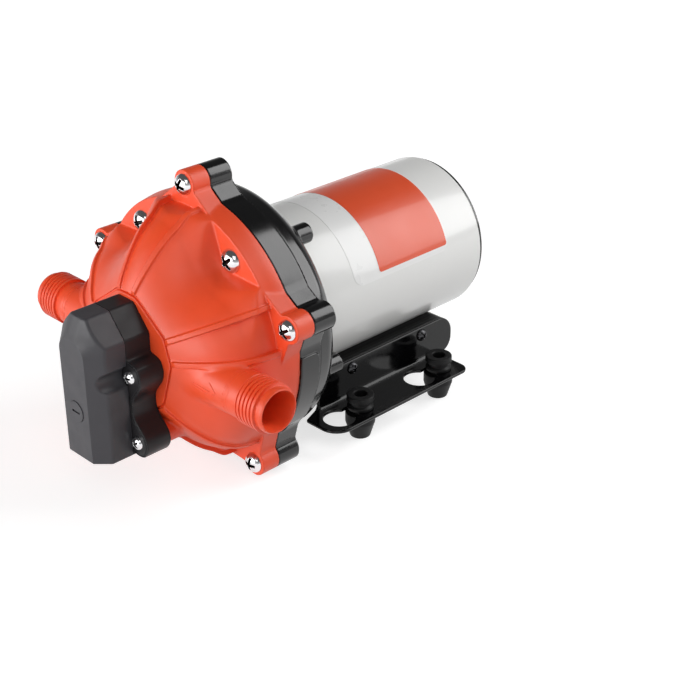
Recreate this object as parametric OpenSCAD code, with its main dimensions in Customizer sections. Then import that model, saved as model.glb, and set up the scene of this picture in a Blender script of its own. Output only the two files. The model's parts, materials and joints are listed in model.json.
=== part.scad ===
// Twelve volt diaphragm water pump with a pressure switch, a motor and a footed base.
// The pump axis runs along X: the head is at the low end and the motor at the high end.
// The origin is on the floor, at the centre of the four foot screws.

/* [Layout] */
// Height of the pump axis above the floor
axis_height = 60.5; // [58:0.5:75]
// Distance from the foot pattern's centre forward to the seam behind the drive housing
seam_to_feet = 64; // [60:0.5:75]

/* [Pump head] */
// Outer radius of the head flange and the drive housing
flange_r = 57; // [55:0.5:58]
// Thickness of the head flange
flange_t = 6.5; // [5:0.5:9]
// How far the lugs stand ahead of the flange
lug_ahead = 2.5; // [1:0.1:4]
// Height of the dome from the flange to the switch border
dome_h = 34.5; // [32:0.5:40]
// How far the dome bows outward
dome_bow = 7; // [5:0.1:8]
// Corner radius of the border round the switch
border_r = 27; // [25:0.5:30]
// Pitch radius of the five lugs
lug_pitch_r = 63; // [62:0.5:68]
// Radius of a lug
lug_r = 6; // [5:0.1:7]
// Half angle of the flange that the gusset under a lug takes up
gusset_a = 13.6; // [11:0.1:15]
// Width of a spine between the outer sides of its two ribs
spine_w = 11; // [9:0.5:13]
// Width of a rib
rib_w = 1.6; // [1:0.1:2.5]
// Height of a rib above the dome
rib_h = 1.2; // [0.6:0.1:2]
// Pitch radius of the inner screws and the rear posts
inner_pitch_r = 48; // [46.5:0.5:49]
// Radius of the scooped pocket beside an inner screw
pocket_r = 20; // [16:0.5:22]
// Distance of a pocket's floor ahead of the flange
pocket_ahead = 3.5; // [0.4:0.1:4]
// Radius of the recess that takes the valve plate
recess_r = 39; // [38:0.5:40]

/* [Ports] */
// Distance of the port axis ahead of the flange
port_ahead = 20.5; // [19:0.5:22]
// Distance of the port axis below the pump axis
port_drop = 3.7; // [0:0.1:6]
// Distance from the pump axis to the end of a port
port_reach = 74; // [72:0.5:82]
// Radius of the port bore
port_bore_r = 7.5; // [6:0.1:8]
// Major radius of the port thread
thread_r = 10.45; // [10.2:0.05:10.7]
// Depth of the port thread
thread_depth = 1.16; // [0.8:0.02:1.3]
// Pitch of the port thread
thread_pitch = 1.814; // [1.5:0.001:2]
// Turns of thread on a port
thread_turns = 6; // [4:1:7]
// Length of the plain tip ahead of the thread
port_tip = 1.6; // [1:0.1:2.5]
// Radius of the fairing where it leaves the dome
fairing_r = 15; // [13:0.5:16]

/* [Chambers and valves] */
// Pitch radius of the five pistons
piston_pitch_r = 24; // [23.5:0.1:24.5]
// Radius of a piston
piston_r = 6.2; // [5.5:0.1:6.6]
// Thickness of a piston
piston_t = 2; // [1.6:0.1:2.4]
// Radius of a pumping chamber
chamber_r = 10; // [9.5:0.1:10.2]
// Depth of a pumping chamber
chamber_depth = 5.4; // [5:0.1:6]
// Thickness of the diaphragm
diaphragm_t = 1.6; // [1.4:0.1:2]
// Thickness of the valve plate
valve_plate_t = 8; // [7.5:0.1:9]
// Thickness of the head seals
seal_t = 1.2; // [1:0.1:1.6]
// Radius of the outlet chamber
outlet_r = 18; // [17.5:0.1:18.5]
// Thickness of the wall between the outlet and inlet chambers
divider_t = 2.5; // [2:0.1:3]
// Radius of an inlet valve
inlet_valve_r = 4.2; // [3.6:0.1:4.4]
// Thickness of the rubber valves
valve_t = 0.9; // [0.6:0.1:1]

/* [Drive] */
// Height of the raised pad on each side of the drive housing
pad_h = 1; // [0.5:0.1:1.5]
// Angle of the near pad's middle
pad_a = 195.5; // [190:0.5:200]
// Half angle that a pad takes up
pad_half_a = 18; // [12:0.5:20]
// Length of the drive housing between the head and the seam
band_t = 11.5; // [11:0.5:16]
// Thickness of the web that carries the diaphragm
spider_t = 3; // [2.5:0.1:3.2]
// Radius of the cavity that the wobble plate moves in
cavity_r = 35.5; // [34:0.5:36]
// Tilt of the wobble plate
tilt = 3; // [2:0.1:3.4]
// Thickness of the wobble plate
wobble_t = 4; // [3:0.1:4.5]
// Bore radius of the wobble bearing
wobble_bore_r = 6; // [5.8:0.1:6.4]
// Outer radius of the wobble bearing
wobble_race_r = 14; // [13:0.1:15]
// Width of the wobble bearing
wobble_race_w = 8; // [7:0.1:8.4]
// Depth of the motor flange between the seam and the can
bell_t = 13; // [12.5:0.5:18]
// Wall of the motor flange behind the drive cavity
bell_wall = 4; // [3:0.1:4.5]
// Radius of a rear post
post_r = 4.4; // [4:0.1:5]
// Length of a rear post behind the motor flange
post_reach = 6.5; // [4:0.5:10]

/* [Motor] */
// Outer radius of the motor can
can_r = 36.2; // [35.5:0.1:37]
// Wall of the motor can
can_t = 1.5; // [1:0.1:2]
// Length of the motor can
can_len = 109.5; // [107:0.5:130]
// Radius of the motor shaft
shaft_r = 4; // [3.5:0.1:4.2]
// Outer radius of the front motor bearing
motor_race_r = 11; // [10:0.1:12]
// Width of the front motor bearing
motor_race_w = 7; // [6:0.1:7]
// Air gap between the armature core and the magnets
air_gap = 1.45; // [1:0.05:3]
// Length of the armature core
core_len = 46; // [40:0.5:48]
// Space between the can's front and the armature core
core_space = 22; // [20:0.5:24]
// Slots in the armature core
core_slots = 10; // [8:1:12]
// Radius of a winding bar in its slot
bar_r = 2; // [1.5:0.1:2.4]
// Length of the winding beyond each end of the core
winding_end = 10; // [8:0.5:11]
// Thickness of a magnet
magnet_t = 5.6; // [4:0.1:6]
// Length of a magnet
magnet_len = 52; // [46:0.5:56]
// Radius of the commutator
commutator_r = 10; // [9:0.1:11]
// Length of the commutator
commutator_len = 12; // [11:0.5:13]
// Width of a brush along the shaft
brush_w = 7; // [6:0.1:8]
// Thickness of a brush across the shaft
brush_t = 6; // [5:0.1:7]
// Length of a brush
brush_len = 11; // [9:0.5:12]
// Thickness of the brush plate
brush_plate_t = 3; // [2:0.1:3.5]
// Thickness of the rear end cap inside the can
cap_t = 6; // [5:0.1:7]
// How far the rear end cap stands behind the can
cap_lip = 1.5; // [1:0.1:3]
// Distance of a through bolt's axis inside the can's outer face
bolt_inset = 5.2; // [4.7:0.1:5.7]
// Radius of a through bolt
bolt_r = 2; // [1.6:0.1:2.2]
// Height of the wire grommet above the can's lowest line
grommet_up = 16.2; // [14:0.1:20]
// Bore radius of the wire grommet
grommet_bore_r = 2.6; // [2:0.1:3]
// Distance of the label's front edge ahead of the foot pattern's centre
label_ahead = 7.5; // [0:0.5:15]
// Length of the label along the can
label_len = 43; // [30:0.5:50]
// Thickness of the label
label_t = 0.2; // [0.1:0.05:0.3]
// Angle of the label's lower edge on the near side
label_from = 163; // [150:1:175]
// Angle of the label's edge past the top
label_to = 48; // [40:1:70]

/* [Pressure switch] */
// Half width of the switch body
switch_half_w = 14; // [13.5:0.1:14.2]
// Height of the switch above the pump axis
switch_top = 24; // [22:0.5:28]
// Depth of the switch below the pump axis
switch_bottom = 38.5; // [37:0.5:42]
// Depth of the switch base
switch_base_t = 12; // [12:0.5:14]
// Depth of the switch cover ahead of its base
switch_cover_t = 16; // [16:0.5:20]
// Wall of the switch cover
switch_wall = 2; // [1.5:0.1:2.2]
// Side chamfer of the switch cover's front
switch_chamfer = 6; // [4:0.1:6.5]
// Distance of the pressure plunger below the pump axis
plunger_drop = 17; // [16.5:0.1:18]
// Travel of the pressure plunger
plunger_travel = 1.2; // [0.8:0.1:1.3]
// Radius of the plunger's stem
stem_r = 2.5; // [2:0.1:2.6]
// Wire radius of the switch spring
spring_wire_r = 0.6; // [0.4:0.05:0.7]
// Turns of the switch spring
spring_turns = 5; // [4:1:6]
// Radius of the plug over the adjusting screw
plug_r = 4.5; // [4:0.1:4.8]

/* [Base] */
// Foot spacing along the pump axis
foot_pitch_x = 51; // [48:0.5:56]
// Foot spacing across the pump axis
foot_pitch_y = 82; // [80:0.5:88]
// Thickness of the base sheet
sheet_t = 1.6; // [1.2:0.1:2]
// Height of the rail flange's underside
rail_z = 12.2; // [11.5:0.1:13]
// Height of a rail's upper edge
rail_top = 30.7; // [30:0.1:31.5]
// Distance from the pump axis to a rail web's outer face
web_y = 30; // [29:0.5:31]
// Distance from the pump axis to a rail's outer edge
rail_y = 51; // [50:0.5:56]
// Length of a rail flange
rail_len = 86.5; // [82:0.5:100]
// Distance from the foot pattern's centre forward to the rail flange's front edge
rail_ahead = 50; // [49:0.5:56]
// Length of a rail web and of the saddle
web_len = 87; // [80:0.5:92]
// Distance from the foot pattern's centre forward to the web's front edge
web_ahead = 40.5; // [38:0.5:42]
// Height of the saddle's arc under the can
cradle_h = 8.05; // [6:0.05:10]
// Travel of a foot from its seat to the wide end of its keyhole
foot_travel = 13; // [12:0.5:14]
// Height of a foot
foot_h = 20.8; // [20:0.1:23]
// Radius of a foot's bore
foot_bore_r = 2.75; // [2.2:0.05:2.9]
// Radius of a foot's neck in the keyhole
foot_neck_r = 4.1; // [3.8:0.1:4.3]
// Largest radius of a foot
foot_r = 5.9; // [5.4:0.1:6.3]
// Spacing of the two rail screws in a web
rail_screw_pitch = 45; // [40:0.5:50]
// Distance of the rail screws below a rail's upper edge
rail_screw_drop = 3.8; // [3.6:0.1:5]

/* [Screws] */
// Shank radius of a lug screw
lug_screw_r = 2.5; // [2:0.1:2.6]
// Head radius of a lug screw
lug_head_r = 4.4; // [4:0.1:4.8]
// Shank radius of an inner screw
inner_screw_r = 2; // [1.6:0.1:2.2]
// Head radius of an inner screw
inner_head_r = 3.9; // [3.5:0.1:4.2]
// Shank radius of a switch screw
switch_screw_r = 1.6; // [1.4:0.1:1.8]
// Head radius of a switch screw
switch_head_r = 3.3; // [2.8:0.1:3.4]
// Shank radius of a rail screw
rail_screw_r = 1.8; // [1.5:0.1:2]
// Head radius of a rail screw
rail_head_r = 3.2; // [2.8:0.1:3.4]

/* [Clearances] */
// Radial clearance of a running or sliding fit
run_clear = 0.05; // [0.03:0.01:0.08]
// Clearance between a screw shank and the hole that it passes through
hole_clear = 0.25; // [0.1:0.05:0.4]
// Side clearance of a piece that drops into a recess
seat_clear = 0.15; // [0.1:0.05:0.2]
// Free space round a piece that moves
move_clear = 0.5; // [0.4:0.05:0.6]

/* [Hidden] */
$fn = 48;
LUGS = 5;
step = 360 / LUGS;
eps = 0.01;
// Stations along the pump axis, from the head back to the motor's rear
seam_w = -seam_to_feet;
clamp_w = seam_w - band_t;
flange_w = clamp_w - flange_t;
lug_w = flange_w - lug_ahead;
border_w = flange_w - dome_h;
plate_rear_w = clamp_w - diaphragm_t;
plate_front_w = plate_rear_w - valve_plate_t;
shoulder_w = plate_front_w - seal_t;
port_w = flange_w - port_ahead;
bell_rear_w = seam_w + bell_t;
can_rear_w = bell_rear_w + can_len;
core_w = bell_rear_w + core_space;
core_rear_w = core_w + core_len;
commutator_w = core_rear_w + winding_end + 2 * move_clear;
brush_mid_w = commutator_w + commutator_len / 2;
brush_plate_w = commutator_w + commutator_len + move_clear;
cap_w = can_rear_w - cap_t;
motor_race_w0 = bell_rear_w - bell_wall - 1;
brush_tip = commutator_r + run_clear;
brush_end = brush_tip + brush_len;
brush_spring_len = 7.4;
holder_wall = 1.4;
bush_r = shaft_r + 4;
core_r = can_r - can_t - run_clear - magnet_t - air_gap;
bolt_pitch_r = can_r - bolt_inset;
grommet_drop = can_r - grommet_up;
bar_pitch_r = core_r - bar_r - 1.6;
// The wobble centre is in the middle of the diaphragm, and wobble stations are counted from it
wobble_w = clamp_w - diaphragm_t / 2;
pad_s = diaphragm_t / 2;
piston_s = -pad_s - piston_t;
piston_screw_r = 1.5;
piston_head_r = 2.7;
wobble_plate_r = piston_pitch_r + piston_r + 0.8;
wobble_s = pad_s + spider_t + wobble_plate_r * sin(tilt) + move_clear;
race_s = wobble_s + 1.6;
race_end_s = race_s + wobble_race_w;
hub_w = wobble_w + race_end_s + move_clear;
hub_end_w = motor_race_w0 - move_clear;
hub_r = wobble_bore_r + 2;
// Border and dome
border_lip = 0.5;
gusset_sink = 0.3;
border_half_a = asin((spine_w / 2 + border_lip) / border_r);
border_flat_r = border_r * cos(step / 2 - border_half_a);
rib_a = asin((spine_w - rib_w) / 2 / border_r);
pocket_in_r = inner_pitch_r - inner_head_r - 0.8;
pocket_lean = 20;
pocket_w = flange_w - pocket_ahead;
chamber_in_r = recess_r - 3;
chamber_h = 18;
outlet_h = 22;
// Flat partition across the port axis, between the two chambers
outlet_floor = outlet_r + 0.2;
inlet_floor = outlet_floor + divider_t;
INNER = [54, 126, 270];
// Valves
inlet_r = piston_pitch_r + chamber_r - inlet_valve_r - 1;
inlet_stem_r = 1.1;
inlet_hole_r = 0.8;
outlet_hole_r = 1.2;
// Pressure switch
switch_w = border_w - switch_base_t;
cover_w = switch_w - switch_cover_t;
switch_crown = 5;
switch_cut = 10.5;
switch_brow = 9;
switch_upper = [15.5, -1.7];
switch_lower = [switch_half_w + switch_head_r + 0.2, -31];
ear_r = 6.2;
switch_grip = 7;
notch_r = switch_head_r + 1.4;
boss_r = 4.8;
membrane_r = 9;
membrane_t = 2;
plunger_w = border_w - membrane_t - 0.1;
plunger_disc_t = 2;
plunger_disc_r = 7;
spring_w = plunger_w - plunger_disc_t - 0.05;
spring_len = 11;
spring_r = 4.2;
adjust_w = spring_w - spring_len - 0.05;
adjust_r = 6;
adjust_t = 6;
plug_t = 3;
button_r = 1.5;
arm_v = 13;
micro_half_w = 5;
micro_w = plunger_w - plunger_disc_t - plunger_travel - 0.9;
micro_t = 9;
// Base
foot_seat_h = sheet_t + 2 * run_clear;
key_r = foot_r + 1.1;
saddle_r = can_r + run_clear;
rail_top_v = rail_top - axis_height;
cradle_v = cradle_h - saddle_r - sheet_t;
leg_h = 9;
rail_screw_len = sheet_t + 4;
rail_screw_x = web_len / 2 - web_ahead;

// Points of a bowed line from p to q, bowing to the left of its direction
function bow(p, q, sag, n) =
    let (d = q - p, side = [-d.y, d.x] / norm(d), mid = (p + q) / 2 + 2 * sag * side)
    [for (i = [0:n]) let (t = i / n) (1 - t) * (1 - t) * p + 2 * t * (1 - t) * mid + t * t * q];

function lug_a(k) = 90 + step * k;
function lobe_a(k) = 90 + step / 2 + step * k;

// Puts a piece drawn along Z onto the pump axis: X becomes Y, Y becomes up
module on_pump_axis() {
    translate([0, 0, axis_height]) rotate([90, 0, 90]) children();
}

// As above, in the tilted frame of the wobble plate
module on_wobble_axis() {
    on_pump_axis() translate([0, 0, wobble_w]) rotate([tilt, 0, 0]) children();
}

module at_polar(r, a) {
    rotate(a) translate([r, 0, 0]) children();
}

// Copies at the five lobes, the five lugs, the inner screws, the through bolts and the two brushes
module at_lobes(r) {
    for (k = [0:LUGS - 1]) at_polar(r, lobe_a(k)) children();
}

module at_lugs() {
    for (k = [0:LUGS - 1]) at_polar(lug_pitch_r, lug_a(k)) children();
}

module at_inner_screws() {
    for (a = INNER) at_polar(inner_pitch_r, a) children();
}

module at_bolts() {
    for (s = [-1, 1]) translate([0, s * bolt_pitch_r, 0]) children();
}

module at_brushes() {
    for (a = [0, 180]) rotate(a) children();
}

module rod(r, w0, w1) {
    translate([0, 0, w0]) cylinder(r = r, h = w1 - w0);
}

module tube(r_in, r_out, w0, w1) {
    difference() {
        rod(r_out, w0, w1);
        rod(r_in, w0 - 1, w1 + 1);
    }
}

// Pan head screw along +Z with its seat at zero and a cross recess in the head
module pan_screw(shank_r, head_r, len) {
    head_h = head_r * 0.62;
    recess_w = head_r * 0.24;
    difference() {
        union() {
            rod(shank_r, -0.1, len);
            translate([0, 0, -head_h]) cylinder(r1 = head_r * 0.72, r2 = head_r, h = head_h * 0.55);
            rod(head_r, -head_h * 0.45 - eps, 0);
        }
        for (a = [0, 90])
            rotate(a) translate([-head_r * 0.55, -recess_w / 2, -head_h - 1])
                cube([head_r * 1.1, recess_w, head_h * 0.6 + 1]);
    }
}

// Rectangle with round corners, from its low corner
module round_rect(size, r) {
    translate([r, 0]) square([size.x - 2 * r, size.y]);
    translate([0, r]) square([size.x, size.y - 2 * r]);
    for (x = [r, size.x - r], y = [r, size.y - r])
        translate([x, y]) circle(r);
}

// Five lugs, each on a gusset whose sides run straight from the flange to the lug
module lugs(w0, w1) {
    root = (flange_r - gusset_sink) * [cos(gusset_a), sin(gusset_a)];
    tip = [max(lug_pitch_r - lug_r / 3, root.x + eps), lug_r];
    for (k = [0:LUGS - 1]) rotate(lug_a(k)) {
        translate([lug_pitch_r, 0, 0]) rod(lug_r, w0, w1);
        translate([0, 0, w0]) linear_extrude(w1 - w0)
            polygon([[root.x - lug_r, -root.y], [root.x, -root.y], [tip.x, -tip.y],
                tip, root, [root.x - lug_r, root.y]]);
    }
}

// The dome as a body of revolution, grown outward for the ribs
module dome(grow) {
    rotate_extrude()
        polygon(concat([[0, clamp_w], [flange_r, clamp_w]],
            bow([flange_r - 1 + grow, flange_w], [border_flat_r + grow, border_w], dome_bow, 10),
            [[0, border_w]]));
}

module border_outline(r) {
    polygon([for (k = [0:LUGS - 1], s = [-1, 1])
        let (a = lug_a(k) + s * border_half_a) r * [cos(a), sin(a)]]);
}

module border_rim() {
    difference() {
        translate([0, 0, border_w]) linear_extrude(dome_h / 3) border_outline(border_r);
        translate([0, 0, border_w - 1]) linear_extrude(1.8) difference() {
            border_outline(border_r - 1.6);
            border_outline(border_r - 2.6);
        }
    }
}

module spine_ribs() {
    intersection() {
        dome(rib_h * 1.3);
        for (k = [0:LUGS - 1], s = [-1, 1]) rotate(lug_a(k) + s * rib_a)
            translate([border_flat_r - 4, -rib_w / 2, border_w])
                cube([lug_pitch_r - border_flat_r, rib_w, dome_h + 1]);
    }
}

// Cuts that leave a flat floor round each inner screw and a leaning round wall behind it
module pockets() {
    reach = 2 * dome_h;
    for (a = INNER) at_polar(pocket_in_r + pocket_r, a) intersection() {
        translate([0, 0, pocket_w]) rotate([0, pocket_lean, 0]) rod(pocket_r, -reach, reach);
        translate([-reach, -reach, pocket_w - reach]) cube([2 * reach, 2 * reach, reach]);
    }
}

// Puts a piece drawn along Z onto the port axis, on the near side for -1 and the far side for 1
module along_port(s) {
    translate([0, -port_drop, port_w]) rotate([0, 90 * s, 0]) children();
}

// Port drawn along Z from the pump axis, with ring shaped threads
module port() {
    root_r = thread_r - thread_depth;
    thread_end = port_reach - port_tip;
    thread_start = thread_end - thread_turns * thread_pitch;
    collar_r = thread_r + 1.2;
    rotate_extrude()
        polygon(concat([[0, outlet_r + divider_t / 2], [fairing_r, outlet_r + divider_t / 2],
                [fairing_r, border_r + 8], [collar_r - 0.4, thread_start - 5.5],
                [collar_r, thread_start - 5.2], [collar_r, thread_start - 3.6],
                [root_r + 1, thread_start - 3.4], [root_r + 1, thread_start - 2.6],
                [collar_r - 0.2, thread_start - 2.4],
                [collar_r - 0.2, thread_start - 1], [root_r, thread_start - 0.6]],
            [for (i = [0:thread_turns - 1], p = [[0, 0.12], [1, 0.36], [1, 0.76], [0, 1]])
                [root_r + p.x * thread_depth, thread_start + (i + p.y) * thread_pitch]],
            [[root_r, port_reach - 0.6], [root_r - 0.6, port_reach], [0, port_reach]]));
}

// Raised arrow that shows the way of the flow, pointing along +X of its own plane
module flow_arrow() {
    linear_extrude(1.6) {
        polygon([[8, 0], [3.5, 3], [3.5, -3]]);
        translate([-4, -1.1]) square([8, 2.2]);
    }
}

// Both ports, their webs and their flow arrows, on the two sides of the head
module ports() {
    web_in = flange_r - 1.1 * fairing_r;
    for (s = [-1, 1]) {
        along_port(s) port();
        translate([0, -port_drop - 2, 0]) rotate([-90, 0, 0]) linear_extrude(4)
            polygon([[s * web_in, -flange_w - 2], [s * (flange_r - 1.5), -flange_w - 2],
                [s * (flange_r - 1), -port_w - thread_r], [s * web_in, -port_w]]);
        translate([s * (border_r + 16), -port_drop, port_w - thread_r - 2.2])
            rotate([180, 10 * s, 180]) flow_arrow();
    }
}

module head_hollows() {
    rod(recess_r, shoulder_w, clamp_w + 1);
    difference() {
        rotate_extrude()
            polygon([[0, shoulder_w + eps], [chamber_in_r, shoulder_w + eps],
                [chamber_in_r - 8, shoulder_w - chamber_h], [0, shoulder_w - chamber_h]]);
        rod(outlet_r + divider_t, shoulder_w - chamber_h - 1, shoulder_w + 1);
        along_port(-1) rod(port_bore_r + divider_t, 0, chamber_in_r + 6);
        along_port(1) rod(port_bore_r + divider_t, 0, inlet_floor);
    }
    rod(outlet_r, shoulder_w - outlet_h, shoulder_w + 1);
    along_port(-1) rod(port_bore_r, -outlet_floor, port_reach + 1);
    along_port(1) rod(port_bore_r, inlet_floor, port_reach + 1);
    translate([0, -plunger_drop + 5, 0]) rod(1.8, border_w - 1, shoulder_w - outlet_h + 1);
}

module switch_holes(r, w0, w1) {
    for (s = [-1, 1], p = [switch_upper, switch_lower])
        translate([s * p.x, p.y, 0]) rod(r, w0, w1);
}

module pump_head() {
    color("orangered") on_pump_axis() difference() {
        union() {
            difference() {
                union() {
                    dome(0);
                    spine_ribs();
                }
                pockets();
            }
            border_rim();
            lugs(lug_w, clamp_w);
            ports();
            for (s = [-1, 1]) translate([s * switch_lower.x, switch_lower.y, 0])
                rod(boss_r, border_w, flange_w - 8);
        }
        head_hollows();
        at_lugs() {
            rod(lug_screw_r + hole_clear, lug_w - 1, clamp_w + 1);
            rod(lug_head_r + hole_clear, border_w, lug_w);
        }
        at_inner_screws() rod(inner_screw_r + hole_clear, border_w, clamp_w + 1);
        rod(border_r + 2, border_w - fairing_r, border_w);
        switch_holes(switch_screw_r + run_clear, border_w - 1, border_w + switch_grip);
    }
}

module head_seals() {
    color("black") on_pump_axis() {
        tube(chamber_in_r + seat_clear, recess_r - seat_clear, shoulder_w, plate_front_w);
        tube(outlet_r, outlet_r + divider_t, shoulder_w, plate_front_w);
    }
}

module valve_plate() {
    color("gainsboro") on_pump_axis() difference() {
        rod(recess_r - seat_clear, plate_front_w, plate_rear_w);
        at_lobes(piston_pitch_r) rod(chamber_r, plate_rear_w - chamber_depth, plate_rear_w + 1);
        at_lobes(inlet_r) {
            rod(inlet_stem_r + run_clear, plate_front_w - 1, plate_rear_w);
            for (a = [0:120:240]) at_polar(inlet_valve_r * 0.62, a)
                rod(inlet_hole_r, plate_front_w - 1, plate_rear_w);
        }
        at_lobes(piston_pitch_r - chamber_r + 1.6) rod(outlet_hole_r, plate_front_w - 1, plate_rear_w);
        rod(inlet_stem_r + run_clear, plate_front_w - 1, plate_front_w + valve_plate_t / 2);
    }
}

module inlet_valves() {
    ceiling_w = plate_rear_w - chamber_depth;
    color("dimgray") on_pump_axis() at_lobes(inlet_r) {
        rod(inlet_valve_r, ceiling_w, ceiling_w + valve_t);
        rod(inlet_stem_r, plate_front_w - 1, ceiling_w + eps);
        rod(inlet_stem_r + 0.5, plate_front_w - 1, plate_front_w);
    }
}

module outlet_valve() {
    color("dimgray") on_pump_axis() {
        rod(outlet_r - 0.6, plate_front_w - valve_t, plate_front_w);
        rod(inlet_stem_r, plate_front_w - eps, plate_front_w + valve_plate_t / 2 - 0.2);
    }
}

// One rubber sheet: flat where it is clamped, with a short cone to each piston's tilted seat
module diaphragm() {
    lip_r = piston_r + 0.3;
    cone_r = chamber_r - 0.4;
    half = diaphragm_t / 2;
    color("darkslategray") {
        on_pump_axis() difference() {
            rod(recess_r - seat_clear, plate_rear_w, clamp_w);
            at_lobes(piston_pitch_r) rod(cone_r, plate_rear_w - 1, clamp_w + 1);
        }
        for (k = [0:LUGS - 1]) {
            lift = piston_pitch_r * sin(lobe_a(k)) * sin(tilt);
            on_pump_axis() translate([0, 0, wobble_w]) at_polar(piston_pitch_r, lobe_a(k))
                rotate_extrude() polygon([[lip_r, lift - half], [cone_r + 0.1, -half],
                    [cone_r + 0.1, half], [lip_r, lift + half]]);
            on_wobble_axis() at_polar(piston_pitch_r, lobe_a(k))
                tube(piston_screw_r + hole_clear, lip_r + 0.5, -half + 0.03, half - 0.03);
        }
    }
}

// Band with the diaphragm's web, five lugs and a raised pad on each side
module drive_housing() {
    reach = 2 * flange_r;
    color("#1a1a1c") on_pump_axis() difference() {
        union() {
            rod(flange_r, clamp_w, seam_w);
            lugs(clamp_w, seam_w);
            intersection() {
                rod(flange_r + pad_h, clamp_w, seam_w - pad_h);
                for (m = [0, 1]) mirror([m, 0, 0]) rotate(pad_a)
                    linear_extrude(4 * reach, center = true)
                        polygon([[0, 0], reach * [cos(pad_half_a), -sin(pad_half_a)],
                            reach * [cos(pad_half_a), sin(pad_half_a)]]);
            }
        }
        at_lobes(piston_pitch_r) rod(chamber_r + 0.6, clamp_w - 1, seam_w);
        rod(cavity_r, clamp_w + spider_t, seam_w + 1);
        at_lugs() rod(lug_screw_r + run_clear, clamp_w - 1, seam_w - 2);
        at_inner_screws() rod(inner_screw_r + hole_clear, clamp_w - 1, seam_w + 1);
    }
}

module lug_screws() {
    color("silver") on_pump_axis() at_lugs() translate([0, 0, lug_w])
        pan_screw(lug_screw_r, lug_head_r, seam_w - lug_w - 3);
}

module inner_screws() {
    color("silver") on_pump_axis() at_inner_screws() translate([0, 0, pocket_w])
        pan_screw(inner_screw_r, inner_head_r, bell_rear_w - pocket_w);
}

// Bell between the drive housing and the can, with the front bearing's seat and five posts
module motor_flange() {
    edge = 8;
    spigot_r = can_r - can_t - run_clear;
    color("#161618") on_pump_axis() difference() {
        union() {
            rotate_extrude() polygon(concat([[0, seam_w], [flange_r - 0.6, seam_w]],
                [for (a = [0:15:90])
                    [flange_r - 2.2 - edge * (1 - cos(a)), bell_rear_w - edge * (1 - sin(a))]],
                [[0, bell_rear_w]]));
            rod(spigot_r, bell_rear_w - 1, bell_rear_w + 4);
            at_lobes(inner_pitch_r) rod(post_r, bell_rear_w - edge, bell_rear_w + post_reach);
        }
        rod(cavity_r, seam_w - 1, bell_rear_w - bell_wall);
        rod(motor_race_r - 2, seam_w, bell_rear_w + 9);
        rod(motor_race_r + run_clear, bell_rear_w - bell_wall - 2, motor_race_w0 + motor_race_w);
        at_inner_screws() rod(inner_screw_r + run_clear, seam_w - 1, bell_rear_w + 1);
        at_bolts() rod(bolt_r + run_clear, bell_rear_w - 3, bell_rear_w + 9);
    }
}

// A ball bearing's rings and balls, sized from its bore, outer radius and width
function race_mid(r_in, r_out) = (r_in + r_out) / 2;
function race_ball(r_in, r_out) = (r_out - r_in) * 0.22;
function race_wall(r_in, r_out) = (r_out - r_in) / 2 - race_ball(r_in, r_out) - run_clear;

module outer_race(r_in, r_out, w0, width) {
    tube(r_out - race_wall(r_in, r_out), r_out, w0, w0 + width);
}

module inner_race(r_in, r_out, w0, width) {
    tube(r_in + run_clear / 2, r_in + race_wall(r_in, r_out), w0, w0 + width);
}

module ball_cage(r_in, r_out, w0, width, count) {
    mid = race_mid(r_in, r_out);
    translate([0, 0, w0 + width / 2]) {
        tube(mid - 0.5, mid + 0.5, -0.8, 0.8);
        for (i = [0:count - 1]) at_polar(mid, i * 360 / count) sphere(race_ball(r_in, r_out));
    }
}

module pistons() {
    color("ivory") on_wobble_axis() at_lobes(piston_pitch_r) difference() {
        rod(piston_r, piston_s, -pad_s);
        rod(piston_screw_r + run_clear, piston_s - 1, 0);
        translate([0, 0, piston_s]) cylinder(r1 = piston_head_r + 0.1, r2 = piston_screw_r, h = 1.3);
    }
}

module piston_screws() {
    color("silver") on_wobble_axis() at_lobes(piston_pitch_r) {
        rod(piston_screw_r, piston_s + run_clear, wobble_s + 1);
        translate([0, 0, piston_s + run_clear]) cylinder(r1 = piston_head_r, r2 = piston_screw_r, h = 1.2);
    }
}

module wobble_plate() {
    boss_out_r = wobble_race_r + 3;
    color("lightgray") on_wobble_axis() difference() {
        union() {
            rod(wobble_plate_r, wobble_s, wobble_s + wobble_t);
            rod(boss_out_r, wobble_s, race_end_s);
            at_lobes(piston_pitch_r) rod(piston_r, pad_s, wobble_s + 1);
        }
        rod(wobble_race_r + run_clear / 2, race_s, race_end_s + 1);
        rod(wobble_race_r - 3, wobble_s - 1, race_s + 1);
        at_lobes(piston_pitch_r) rod(piston_screw_r + run_clear, pad_s - 1, wobble_s + 1.2);
    }
}

module wobble_outer_race() {
    color("silver") on_wobble_axis() outer_race(wobble_bore_r, wobble_race_r, race_s, wobble_race_w);
}

module wobble_balls() {
    color("silver") on_wobble_axis() ball_cage(wobble_bore_r, wobble_race_r, race_s, wobble_race_w, 9);
}

module wobble_inner_race() {
    color("silver") on_wobble_axis() inner_race(wobble_bore_r, wobble_race_r, race_s, wobble_race_w);
}

// Hub on the shaft whose front pin is tilted, with a shoulder behind the bearing
module eccentric_hub() {
    shoulder = race_wall(wobble_bore_r, wobble_race_r) - 0.3;
    color("slategray") difference() {
        union() {
            on_wobble_axis() {
                rod(wobble_bore_r, race_s, race_end_s + 0.2);
                rod(wobble_bore_r + shoulder, race_end_s, race_end_s + 1.2);
            }
            on_pump_axis() rod(hub_r, hub_w, hub_end_w);
        }
        on_pump_axis() {
            rod(shaft_r + run_clear / 2, wobble_w, hub_end_w + 1);
            translate([0, 0, (hub_w + hub_end_w) / 2]) rotate([-90, 0, 0]) rod(1 + run_clear, 0, hub_r + 1);
        }
    }
}

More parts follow.
